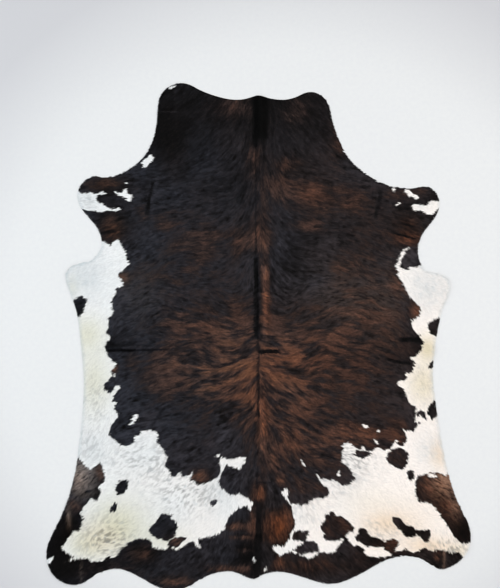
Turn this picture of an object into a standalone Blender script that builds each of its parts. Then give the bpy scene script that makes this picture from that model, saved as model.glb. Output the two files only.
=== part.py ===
"""Cowhide rug: one tanned skin with its hair on, laid hair side up, flat on the floor.

Metres, +Z up. The neck points to +Y and the tail to -Y. The origin is on the floor, under the
middle of the rug. The underside is level at z = 0 wherever the skin touches the floor and rises
only under the fold ridges.
"""

import math
from collections import namedtuple

import bmesh
import bpy
from mathutils import Vector
from mathutils.geometry import delaunay_2d_cdt

CM = 0.01
MM = 0.001

# Driving dimensions
SHEET_THICKNESS = 5.0 * MM      # tanned skin with its coat pressed flat
EDGE_THICKNESS = 2.6 * MM       # cut rim, where the coat lies down over the skin
EDGE_ROUND = 10.0 * MM          # width of the strip in which the coat rolls off to the rim
RIM_STEP = 29.0 * MM            # spacing of the points round the rim
LATTICE_STEP = 66.0 * MM        # spacing of the points on the flat stretches
FOLD_STEP = 26.0 * MM           # spacing of the points along a fold
FOLD_LINES = 3                  # lines of points on each side of a fold's crest
CLEARANCE = 0.62                # share of a step kept free between two sets of points
SMOOTH_ANGLE = math.radians(40)

# Cut edge of the hide in centimetres from its middle, clockwise from above. Each row is one
# stretch of the animal's outline, as x, y pairs.
EDGE = {
    "neck": (
        (-42.5, 97.5), (-42.0, 100.5), (-39.5, 105.0), (-36.0, 107.0), (-32.5, 107.7),
        (-29.0, 107.0), (-24.0, 104.5), (-17.0, 102.0), (-11.0, 100.8), (-6.0, 101.0),
        (0.0, 102.5), (4.0, 101.5), (10.0, 100.7), (15.0, 101.5), (20.0, 103.7),
        (22.5, 104.0), (25.0, 103.5), (28.5, 100.5), (30.3, 96.0)),
    "right foreleg": (
        (31.5, 90.5), (34.0, 83.5), (37.5, 76.5), (43.5, 70.3), (52.0, 65.0),
        (59.5, 63.2), (65.0, 63.0), (70.5, 63.7), (74.7, 61.5), (76.8, 57.0),
        (75.5, 51.5), (69.7, 43.5), (67.8, 38.5), (68.0, 33.0), (70.3, 28.5)),
    "right flank": (
        (76.0, 26.7), (79.7, 25.0), (81.0, 21.5), (80.3, 16.5), (77.7, 10.0),
        (75.5, -0.7), (74.2, -10.5), (74.0, -19.0), (75.0, -27.5), (77.5, -44.0),
        (80.5, -58.5), (84.3, -70.0)),
    "right hind leg": (
        (88.5, -78.5), (90.0, -84.5), (89.0, -90.5), (85.3, -95.5), (80.5, -98.3),
        (77.5, -98.8), (74.5, -97.8), (68.5, -94.5), (62.0, -93.3), (56.0, -94.2)),
    "right rump": (
        (51.5, -96.3), (43.0, -101.0), (35.5, -104.3), (30.0, -105.1), (24.5, -104.0),
        (16.0, -101.3), (10.0, -100.0), (4.5, -100.4)),
    "tail root": (
        (0.0, -102.0), (-3.0, -103.0), (-6.5, -101.5), (-11.5, -99.8), (-17.5, -100.3),
        (-22.5, -102.0)),
    "left rump": (
        (-27.5, -105.0), (-32.0, -107.3), (-37.0, -107.7), (-43.0, -106.2), (-49.5, -102.7),
        (-55.5, -99.7), (-60.5, -98.6), (-66.0, -99.8)),
    "left hind leg": (
        (-72.5, -103.7), (-77.5, -105.5), (-82.0, -104.8), (-86.5, -101.8), (-89.3, -96.5),
        (-89.8, -91.5), (-88.3, -86.3), (-84.0, -77.5), (-80.5, -68.5), (-77.5, -57.0)),
    "left flank": (
        (-75.8, -45.0), (-74.3, -30.0), (-74.0, -18.0), (-75.3, -2.5), (-77.0, 10.0),
        (-80.3, 20.0), (-81.5, 26.0), (-80.0, 29.5), (-76.0, 30.8), (-70.5, 32.5),
        (-67.0, 36.5), (-66.5, 41.0), (-68.5, 46.3), (-73.5, 52.3)),
    "left foreleg": (
        (-76.3, 57.0), (-76.3, 62.0), (-73.5, 66.0), (-69.0, 68.1), (-65.0, 67.5),
        (-60.0, 68.2), (-54.0, 71.2), (-48.0, 76.7), (-44.5, 83.7), (-43.0, 91.0)),
}

# Fold ridges in the skin. A ridge's crest runs from start to end (cm); it falls to the floor over
# left_cm and right_cm, seen from start towards end, and fades out at the ends that lie inside the
# edge. Where two ridges cross, the higher one wins.
Fold = namedtuple("Fold", "place start end rise_mm left_cm right_cm")
FOLDS = (
    Fold("spine, neck", (0.8, 112.0), (0.8, 82.0), 8.0, 3.6, 3.4),
    Fold("spine, shoulders", (0.8, 86.0), (1.0, 28.0), 3.5, 3.0, 3.0),
    Fold("spine, back", (1.0, 36.0), (1.5, -4.0), 9.0, 5.0, 2.2),
    Fold("spine, rump", (1.5, 0.0), (0.5, -64.0), 4.0, 3.0, 3.0),
    Fold("spine, tail", (0.0, -64.0), (-2.0, -112.0), 6.0, 3.6, 2.6),
    Fold("middle, left flank", (-72.0, -5.0), (-38.0, -4.4), 8.0, 4.0, 1.8),
    Fold("middle, spine", (-3.0, -6.2), (13.0, -5.8), 6.0, 3.4, 1.8),
    Fold("middle, right flank", (52.0, -7.0), (80.0, -7.0), 8.0, 4.6, 4.6),
    Fold("right foreleg", (50.6, 70.0), (48.6, 42.0), 6.0, 4.0, 2.2),
    Fold("left foreleg", (-46.2, 82.0), (-48.2, 47.0), 6.0, 2.2, 4.0),
    Fold("neck, left corner", (-48.0, 94.8), (-31.0, 95.6), 4.0, 2.2, 2.2),
    Fold("left shank", (-82.5, -67.0), (-79.5, -88.0), 5.0, 2.6, 2.6),
    Fold("right shank", (79.5, -76.0), (78.0, -104.0), 5.0, 2.6, 2.6),
    Fold("across the tail root", (-4.0, -61.5), (10.0, -61.5), 5.0, 2.0, 2.0),
    Fold("right armpit, upper", (57.0, 50.5), (69.0, 45.0), 3.5, 1.8, 1.8),
    Fold("right armpit, lower", (54.0, 45.0), (72.0, 40.0), 4.5, 2.4, 1.8),
    Fold("left armpit", (-72.0, 44.0), (-58.0, 45.5), 4.0, 2.4, 1.8),
    Fold("left rump", (-39.0, -30.0), (-46.5, -40.0), 3.0, 1.8, 1.8),
)
FOLD_FADE = 6.0 * CM            # length over which a ridge's end sinks to the floor
FOLD_SWELL = 0.16               # how much a ridge's height wanders along its length
SWELL_LENGTH = 4.5 * CM         # the wander's length, per radian

# Stretches of the edge that stay a little off the floor: a centre (cm), a reach and a rise
Curl = namedtuple("Curl", "place centre reach_cm rise_mm")
CURLS = (
    Curl("left flank corner", (-82.0, 28.0), 13.0, 7.0),
    Curl("right flank corner", (82.0, 24.0), 13.0, 7.0),
    Curl("left neck corner", (-36.0, 109.0), 12.0, 6.0),
    Curl("left hind toe", (-88.0, -103.0), 14.0, 7.0),
    Curl("right hind toe", (90.0, -91.0), 13.0, 6.0),
    Curl("left rump", (-36.0, -112.0), 15.0, 7.0),
)


def metres(pair):
    """A point in metres from a pair in centimetres."""
    return Vector(pair) * CM


def ease(share):
    """Soft step from 0 to 1."""
    share = min(max(share, 0.0), 1.0)
    return share * share * (3.0 - 2.0 * share)


def fold_height(fold, spot):
    """Height of one fold ridge over a spot."""
    start, end = metres(fold.start), metres(fold.end)
    run = (end - start).normalized()
    side = Vector((-run.y, run.x))
    along = (spot - start).dot(run)
    across = (spot - start).dot(side)
    length = (end - start).length
    reach = (fold.left_cm if across > 0.0 else fold.right_cm) * CM
    if abs(across) >= reach or not 0.0 < along < length:
        return 0.0
    crest = 0.5 + 0.5 * math.cos(math.pi * across / reach)
    fade = ease(along / FOLD_FADE) * ease((length - along) / FOLD_FADE)
    swell = 1.0 + FOLD_SWELL * math.sin(along / SWELL_LENGTH + fold.start[0])
    return fold.rise_mm * MM * crest * fade * swell


def curl_height(curl, spot):
    """Height of one lifted stretch of the edge over a spot."""
    nearness = 1.0 - (spot - metres(curl.centre)).length / (curl.reach_cm * CM)
    return curl.rise_mm * MM * ease(nearness)


def lift(spot):
    """Height of the underside over the floor, exactly 0 where the skin lies on it."""
    ridge = max(fold_height(fold, spot) for fold in FOLDS)
    edge = max(curl_height(curl, spot) for curl in CURLS)
    return max(ridge, edge)


def smooth_loop(corners, step):
    """Closed centripetal Catmull-Rom curve through the corners, in even steps."""
    fine = []
    count = len(corners)
    for index in range(count):
        p0, p1, p2, p3 = (corners[(index + shift) % count] for shift in (-1, 0, 1, 2))
        t1 = math.sqrt((p1 - p0).length)
        t2 = t1 + math.sqrt((p2 - p1).length)
        t3 = t2 + math.sqrt((p3 - p2).length)
        for part in range(16):
            t = t1 + (t2 - t1) * part / 16
            a1 = p0.lerp(p1, t / t1)
            a2 = p1.lerp(p2, (t - t1) / (t2 - t1))
            a3 = p2.lerp(p3, (t - t2) / (t3 - t2))
            b1 = a1.lerp(a2, t / t2)
            b2 = a2.lerp(a3, (t - t1) / (t3 - t1))
            fine.append(b1.lerp(b2, (t - t1) / (t2 - t1)))
    lengths = [(fine[i] - fine[i - 1]).length for i in range(len(fine))]
    total = sum(lengths)
    pieces = round(total / step)
    loop = []
    walked = 0.0
    for index in range(len(fine)):
        here, following = fine[index], fine[(index + 1) % len(fine)]
        gap = (following - here).length
        while len(loop) < pieces and len(loop) * total / pieces < walked + gap:
            loop.append(here.lerp(following, (len(loop) * total / pieces - walked) / gap))
        walked += gap
    return loop


def centred(loop):
    """The loop moved so that the middle of its box is the origin."""
    xs = [point.x for point in loop]
    ys = [point.y for point in loop]
    middle = Vector(((min(xs) + max(xs)) / 2, (min(ys) + max(ys)) / 2))
    return [point - middle for point in loop]


def inset_loop(loop, distance):
    """The clockwise loop moved inwards by a distance."""
    inner = []
    for index, point in enumerate(loop):
        run = (loop[(index + 1) % len(loop)] - loop[index - 1]).normalized()
        inner.append(point + Vector((run.y, -run.x)) * distance)
    return inner


def is_inside(loop, spot):
    """Even-odd test of a spot against a closed loop."""
    inside = False
    for index, b in enumerate(loop):
        a = loop[index - 1]
        if (a.y > spot.y) != (b.y > spot.y):
            if spot.x < a.x + (b.x - a.x) * (spot.y - a.y) / (b.y - a.y):
                inside = not inside
    return inside


def clear_of(points, spot, distance):
    """Whether a spot keeps a distance from every point."""
    return all((spot - point).length > distance for point in points)


def fold_points(loop):
    """Lines of points along each fold's crest and flanks, inside the loop."""
    chosen = []
    for fold in FOLDS:
        start, end = metres(fold.start), metres(fold.end)
        run = (end - start).normalized()
        side = Vector((-run.y, run.x))
        count = round((end - start).length / FOLD_STEP)
        for part in range(count + 1):
            for line in range(-FOLD_LINES, FOLD_LINES + 1):
                gap = (fold.left_cm if line > 0 else fold.right_cm) * CM / FOLD_LINES
                spot = start.lerp(end, part / count) + side * (line * gap)
                free = CLEARANCE * gap
                if is_inside(loop, spot) and clear_of(loop + chosen, spot, free):
                    chosen.append(spot)
    return chosen


def lattice_points(loop, taken):
    """Rows of evenly spread points over the flat stretches, clear of those taken."""
    chosen = []
    row_step = LATTICE_STEP * math.sqrt(0.75)
    rows = math.ceil(max(point.y for point in loop) / row_step)
    columns = math.ceil(max(point.x for point in loop) / LATTICE_STEP)
    for row in range(-rows, rows + 1):
        shift = 0.5 * (row % 2)
        for column in range(-columns, columns + 1):
            spot = Vector(((column + shift) * LATTICE_STEP, row * row_step))
            if is_inside(loop, spot) and clear_of(taken, spot, CLEARANCE * LATTICE_STEP):
                chosen.append(spot)
    return chosen


def sheet_mesh(name, loop):
    """Closed mesh of the hide inside the loop: underside, coat side and cut rim."""
    rim_count = len(loop)
    shoulder = inset_loop(loop, EDGE_ROUND)
    folds = fold_points(shoulder)
    flats = lattice_points(shoulder, shoulder + folds)
    spots = loop + shoulder + folds + flats
    ring = range(rim_count, 2 * rim_count)
    shoulder_edges = [(i, rim_count + (i + 1) % rim_count) for i in ring]
    result = delaunay_2d_cdt(spots, shoulder_edges, [list(range(rim_count))], 1, 1e-7)
    places, _edges, triangles, sources = result[:4]

    mesh = bmesh.new()
    under, over, rim = [], [], {}
    for index, (place, source) in enumerate(zip(places, sources)):
        height = lift(place)
        on_rim = bool(source) and source[0] < rim_count
        thickness = EDGE_THICKNESS if on_rim else SHEET_THICKNESS
        under.append(mesh.verts.new((place.x, place.y, height)))
        over.append(mesh.verts.new((place.x, place.y, height + thickness)))
        if on_rim:
            rim[source[0]] = index
    for a, b, c in triangles:
        mesh.faces.new((over[a], over[b], over[c]))
        mesh.faces.new((under[c], under[b], under[a]))
    for step in range(rim_count):
        a, b = rim[step], rim[(step + 1) % rim_count]
        mesh.faces.new((under[a], under[b], over[b], over[a]))
    bmesh.ops.triangulate(mesh, faces=[face for face in mesh.faces if len(face.verts) > 3])
    bmesh.ops.recalc_face_normals(mesh, faces=mesh.faces)

    data = bpy.data.meshes.new(name)
    mesh.to_mesh(data)
    mesh.free()
    data.shade_smooth()
    data.set_sharp_from_angle(angle=SMOOTH_ANGLE)
    return data


def coat_material():
    """Dark brown coat, pressed flat, with a soft shine."""
    material = bpy.data.materials.new("cow_coat")
    material.use_nodes = True
    shader = material.node_tree.nodes["Principled BSDF"]
    shader.inputs["Base Color"].default_value = (0.022, 0.015, 0.013, 1.0)
    shader.inputs["Roughness"].default_value = 0.6
    shader.inputs["Metallic"].default_value = 0.0
    return material


def build_hide():
    """The hide: one closed sheet with the cut outline, its fold ridges and lifted corners."""
    corners = [metres(pair) for stretch in EDGE.values() for pair in stretch]
    loop = centred(smooth_loop(corners, RIM_STEP))
    data = sheet_mesh("hide", loop)
    data.materials.append(coat_material())
    hide = bpy.data.objects.new("hide", data)
    bpy.context.scene.collection.objects.link(hide)
    return hide


def main():
    for item in list(bpy.data.objects):
        bpy.data.objects.remove(item, do_unlink=True)
    build_hide()


main()
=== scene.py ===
"""Looks of the cowhide rug: the tanned skin and the coat of hair locks that lie on it.

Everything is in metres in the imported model's frame: +Y runs along the spine towards the neck, +Z
up out of the hair side, and the origin is on the floor under the middle of the rug. The tables
below give their places in centimetres, or in pixels of the photograph, and say so.
"""

import math
from collections import namedtuple

import bpy
import numpy as np
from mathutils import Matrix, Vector
from mathutils.geometry import delaunay_2d_cdt


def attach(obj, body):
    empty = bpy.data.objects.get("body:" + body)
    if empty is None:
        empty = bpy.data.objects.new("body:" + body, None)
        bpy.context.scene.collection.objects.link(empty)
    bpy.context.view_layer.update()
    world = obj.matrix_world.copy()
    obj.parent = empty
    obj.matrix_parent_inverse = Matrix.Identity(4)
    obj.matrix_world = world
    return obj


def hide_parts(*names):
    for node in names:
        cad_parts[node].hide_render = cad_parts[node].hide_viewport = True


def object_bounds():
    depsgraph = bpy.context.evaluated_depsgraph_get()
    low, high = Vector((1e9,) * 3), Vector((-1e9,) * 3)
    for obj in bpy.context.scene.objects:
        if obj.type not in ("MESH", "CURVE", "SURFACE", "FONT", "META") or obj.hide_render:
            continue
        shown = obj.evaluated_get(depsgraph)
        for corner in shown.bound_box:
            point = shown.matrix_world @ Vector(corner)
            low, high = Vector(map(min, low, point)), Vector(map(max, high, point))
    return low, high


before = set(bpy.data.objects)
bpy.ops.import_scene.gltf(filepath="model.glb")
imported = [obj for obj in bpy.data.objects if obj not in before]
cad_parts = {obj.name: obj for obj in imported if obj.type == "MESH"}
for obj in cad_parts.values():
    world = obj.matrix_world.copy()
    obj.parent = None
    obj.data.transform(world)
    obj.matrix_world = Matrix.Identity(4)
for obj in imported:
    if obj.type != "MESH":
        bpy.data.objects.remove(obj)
cad_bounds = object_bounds()

CM = 0.01
MM = 0.001
SEED = 20

# The skin
SKIN_THICKNESS = 2.0 * MM
SKIN_INSET = 3.0 * MM           # how far the cut skin stays behind the tips of the hair
RIM_PARTS = 3                   # steps of the skin's rim for each step of the solid's
SKIN_STEP = 12.0 * MM           # spacing of the skin's points, and half of it on the folds
STEEP = 0.05                    # slope from which the skin and the hair count as folded
SAME_SPOT = 0.1 * MM            # points closer than this in plan are over each other
JOIN_SLACK = 1e-7               # points closer than this become one in the skin
SKIN_FLOW = (90.0, 30.0)        # extent of the hair's flow map over the skin, across and along
BAKE_HALF = 0.49                # share of the bake map's width for each side of the skin

# The coat
HALF_SPREAD = (1.0, 1.3)        # columns and rows of spots on each side of the middle, times a step
LOCK_STEP = 4.15 * MM           # spacing of the rows of locks
LOCK_JITTER = 0.4               # how far a root strays from its row, in steps
LOCK_LENGTH = 18.0 * MM
LOCK_WIDTH = 4.6 * MM
LOCK_HEIGHT = 0.9 * MM
LENGTH_DRAW = (0.75, 1.2)       # each lock's own length, width and height, in shares of these
WIDTH_DRAW = (0.75, 1.25)
HEIGHT_DRAW = (0.7, 1.3)
LEAST_WIDTH = 0.4               # width of the shortest locks, as a share
BEND = 0.09                     # how far a tip bends to its side, as a share of the length
LOCK_BOW = 0.7 * MM             # how far the skin may bulge under a lock before it is cut shorter
CUTS = 9                        # how often a lock is cut shorter, and to which share each time
CUT_SHARE = 0.82
LOCK_BODY = 0.35                # least height of a lock's spine over its sides, in LOCK_HEIGHT
COAT_DEPTH = 2.6 * MM           # height of the locks' tips over the skin
RIM_SHARE = 0.25                # share of that height which is left at the rim
RIM_OVERHANG = 3.5 * MM         # how far tips may reach past the solid's rim
RIM_ROLL = 14.0 * MM            # width over which the coat thins towards the rim
LEAST_DEPTH = 0.25 * MM         # height of the coat where a crease presses it flat
SIDE_TURN = 0.45                # how far a lock's shading turns to its sides, as a slope
END_TURN = 0.2                  # how far it turns to its root and its tip
MARK_PLACE = 0.55               # share of a lock's length whose place gives the lock its colour
UNDERCOAT = 0.2                 # the skin's hair side looks like this share of a lock's length: a little darker, as painted shade under the coat
SWIRL = math.radians(9)         # how much neighbouring tufts turn from the flow
STRAY = math.radians(6)         # how much each lock turns by itself
CURLY = 1.8                     # how much more the white hair turns

# The photograph: its scale, the pixel over the rug's middle, and its frame
PIXEL = 4.25 * MM
MIDDLE_PIXEL = (258.5, 336.3)
FRAME_PIXELS = (500, 588)


# Folds, as in the solid: a ridge's crest runs from start to end (cm) and falls to the floor over
# left_cm and right_cm, seen from start towards end.
Fold = namedtuple("Fold", "place start end rise_mm left_cm right_cm")
FOLDS = [Fold(*row) for row in (
    ("spine, neck", (0.8, 112.0), (0.8, 82.0), 8.0, 3.6, 3.4),
    ("spine, shoulders", (0.8, 86.0), (1.0, 28.0), 3.5, 3.0, 3.0),
    ("spine, back", (1.0, 36.0), (1.5, -4.0), 9.0, 5.0, 2.2),
    ("spine, rump", (1.5, 0.0), (0.5, -64.0), 4.0, 3.0, 3.0),
    ("spine, tail", (0.0, -64.0), (-2.0, -112.0), 6.0, 3.6, 2.6),
    ("middle, left flank", (-72.0, -5.0), (-38.0, -4.4), 8.0, 4.0, 1.8),
    ("middle, spine", (-3.0, -6.2), (13.0, -5.8), 6.0, 3.4, 1.8),
    ("middle, right flank", (52.0, -7.0), (80.0, -7.0), 8.0, 4.6, 4.6),
    ("right foreleg", (50.6, 70.0), (48.6, 42.0), 6.0, 4.0, 2.2),
    ("left foreleg", (-46.2, 82.0), (-48.2, 47.0), 6.0, 2.2, 4.0),
    ("neck, left corner", (-48.0, 94.8), (-31.0, 95.6), 4.0, 2.2, 2.2),
    ("left shank", (-82.5, -67.0), (-79.5, -88.0), 5.0, 2.6, 2.6),
    ("right shank", (79.5, -76.0), (78.0, -104.0), 5.0, 2.6, 2.6),
    ("across the tail root", (-4.0, -61.5), (10.0, -61.5), 5.0, 2.0, 2.0),
    ("right armpit, upper", (57.0, 50.5), (69.0, 45.0), 3.5, 1.8, 1.8),
    ("right armpit, lower", (54.0, 45.0), (72.0, 40.0), 4.5, 2.4, 1.8),
    ("left armpit", (-72.0, 44.0), (-58.0, 45.5), 4.0, 2.4, 1.8),
    ("left rump", (-39.0, -30.0), (-46.5, -40.0), 3.0, 1.8, 1.8),
)]
FOLD_FADE = 6.0 * CM            # length over which a ridge's end sinks to the floor
FOLD_SWELL = 0.16               # how much a ridge's height wanders along its length
SWELL_LENGTH = 4.5 * CM         # the wander's length, per radian

# Stretches of the edge that stay a little off the floor, as in the solid (cm)
Curl = namedtuple("Curl", "place centre reach_cm rise_mm")
CURLS = [Curl(*row) for row in (
    ("left flank corner", (-82.0, 28.0), 13.0, 7.0),
    ("right flank corner", (82.0, 24.0), 13.0, 7.0),
    ("left neck corner", (-36.0, 109.0), 12.0, 6.0),
    ("left hind toe", (-88.0, -103.0), 14.0, 7.0),
    ("right hind toe", (90.0, -91.0), 13.0, 6.0),
    ("left rump", (-36.0, -112.0), 15.0, 7.0),
)]

# Creases: soft troughs in the coat along the folds (cm). The hair is pressed down in them, and dark is
# painted shade that darkens it there; a negative dark makes it paler: a painted highlight on the lit
# crests, and wear along the croup.
Crease = namedtuple("Crease", "place start end width_cm depth_mm dark")
CREASES = [Crease(*row) for row in (
    ("groove beside the spine", (-1.0, 34.0), (-0.9, -1.0), 1.9, 1.6, 1.1),
    # painted highlight on the lit side of the spine's ridge
    ("ridge beside the groove", (2.6, 29.5), (2.8, -3.0), 1.7, 0.0, -0.5),
    ("ridge beside the groove, top", (2.5, 30.0), (2.5, 24.0), 1.2, 0.0, -0.6),
    ("line beside the spine", (-1.2, 82.0), (-1.1, 36.0), 0.8, 0.4, 0.45),
    ("line over the withers", (2.0, 76.0), (1.8, 62.0), 0.8, 0.3, 0.4),
    ("spine at the neck", (0.9, 108.0), (0.8, 84.0), 6.6, 0.8, 1.12),
    ("spine at the withers", (-1.4, 86.0), (-1.4, 80.5), 2.2, 0.6, 0.9),
    ("spine over the loin", (-0.3, -2.0), (0.1, -34.0), 1.0, 0.7, 0.55),
    ("spine over the croup", (0.2, -32.0), (-0.2, -42.0), 0.9, 0.7, 0.3),
    ("tail head", (-0.6, -55.0), (-0.5, -65.0), 0.8, 0.5, 0.6),
    ("croup, worn", (1.3, -27.0), (1.7, -50.0), 2.2, 0.0, -0.55),
    ("tail, upper", (0.1, -70.0), (0.2, -86.0), 2.4, 0.7, 0.7),
    ("tail, lower", (0.0, -84.0), (-0.4, -108.0), 3.4, 1.0, 0.7),
    ("beside the tail, upper", (-12.0, -83.6), (-2.5, -84.6), 0.9, 0.4, 0.5),
    ("beside the tail, middle", (-10.0, -89.0), (-2.5, -90.0), 1.2, 0.4, 0.6),
    ("beside the tail, lower", (-11.0, -94.4), (-3.0, -94.0), 1.0, 0.4, 0.6),
    ("across the tail root", (-1.0, -62.2), (6.0, -62.2), 1.0, 0.9, 0.6),
    ("middle, left flank", (-64.5, -6.1), (-53.0, -6.0), 1.2, 1.4, 1.0),
    ("middle, left flank, inner", (-56.0, -6.0), (-38.0, -5.6), 0.7, 1.0, 0.85),
    ("middle, left flank, crest", (-60.0, -5.0), (-40.0, -4.8), 0.5, 0.0, -0.4),
    ("middle, left flank, upper", (-62.0, -3.4), (-44.0, -3.9), 0.8, 0.5, 0.5),
    ("middle, left edge", (-65.0, -3.0), (-60.5, -3.6), 3.2, 0.6, 0.8),
    ("middle, spine", (0.2, -6.6), (8.8, -6.3), 1.6, 1.2, 1.1),
    ("middle, right flank, upper", (60.0, -1.2), (69.0, -1.6), 2.0, 1.1, 1.1),
    ("middle, right flank, lower", (54.5, -9.8), (65.0, -11.8), 1.2, 1.1, 1.1),
    ("right foreleg", (52.0, 62.0), (49.6, 50.0), 1.8, 0.9, 0.8),
    ("left foreleg", (-44.6, 66.0), (-47.6, 52.0), 1.4, 0.9, 0.95),
    ("left armpit", (-68.0, 43.6), (-60.5, 44.8), 1.2, 0.7, 0.8),
    ("right armpit, upper", (60.0, 48.4), (65.6, 46.4), 0.8, 0.7, 0.8),
    ("right armpit, lower", (57.0, 43.8), (67.0, 41.4), 0.8, 0.7, 0.9),
    ("left rump", (-40.5, -31.0), (-45.5, -38.5), 1.2, 0.6, 0.55),
    ("neck, left corner", (-42.5, 95.2), (-34.5, 95.5), 0.8, 0.0, -2.4),
    ("left shank", (-82.0, -71.0), (-79.4, -82.0), 0.9, 0.0, -0.5),
    ("right shank", (78.6, -89.0), (79.6, -98.0), 1.2, 0.0, -0.35),
)]
CREASE_FADE = 2.0 * CM          # length over which a crease's end fades
CREASE_SWAY = 1.2 * MM          # how far a crease wanders to its sides
SWAY_LENGTH = 2.1 * CM          # the wander's length, per radian
PAINTED_LIGHT_RANGE = (-3.0, 1.15)       # the strongest painted highlight on a crest and the strongest painted shade in a trough

# Lie of the hair on one side of the spine, the same on the other: the heading in degrees at a
# place x out from the spine and y towards the neck (cm). 0 points straight out, -90 to the tail.
Guide = namedtuple("Guide", "place x y heading")
GUIDES = [Guide(*row) for row in (
    ("neck crest", 3, 97, -74), ("neck spine", 0.5, 88, -88), ("withers spine", 0.6, 62, -88),
    ("back spine", 0.8, 40, -84), ("back ridge", 1.8, 22, -80), ("neck", 16, 92, -46),
    ("neck side", 32, 88, -38), ("withers", 3, 62, -62), ("shoulder", 18, 62, -12),
    ("upper arm", 42, 58, -8), ("foreleg", 66, 57, -6), ("elbow", 64, 43, -28),
    ("upper back", 4, 40, -34), ("upper ribs", 22, 38, -4), ("armpit", 50, 36, -30),
    ("back", 3, 18, -14), ("ribs", 18, 12, 22), ("middle ribs", 34, 14, 8), ("side", 50, 12, -22),
    ("flank", 66, 6, -46), ("flank corner", 76, 22, -30), ("loin", 3, -6, -24),
    ("loin side", 18, -5, 15), ("belly side", 36, -8, -4), ("belly", 56, -12, -18),
    ("belly edge", 70, -15, -50), ("croup", 2, -26, -66), ("hip", 10, -28, -30),
    ("thigh top", 28, -30, -10), ("thigh", 50, -35, -22), ("stifle", 70, -38, -55),
    ("tail head", 2, -48, -78), ("rump", 10, -50, -46), ("ham", 28, -48, -20),
    ("ham side", 48, -55, -32), ("hock", 74, -62, -38), ("tail", 2, -76, -88),
    ("beside the tail", 10, -78, -76), ("buttock", 28, -75, -46), ("buttock side", 50, -78, -40),
    ("shank", 78, -86, -52), ("lower edge", 10, -98, -62), ("lower edge, middle", 34, -98, -38),
    ("lower edge, side", 60, -92, -22),
)]
GUIDE_REACH = 3.0 * CM          # distance over which a guide rules alone
GUIDE_FADE = 40.0 * CM          # distance over which a guide fades out
SPINE_X = 0.6 * CM
WAVE = math.radians(20)         # how far the flow sways to its sides
WAVE_TOP = 50.0 * CM            # the flow sways less towards this height, and not above it
WAVE_FADE = 25.0 * CM
WAVE_START = 5.0 * CM           # distance from the spine at which it sways in full
STREAK_STEP = 4.0 * MM          # step of the walk along the hair

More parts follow.
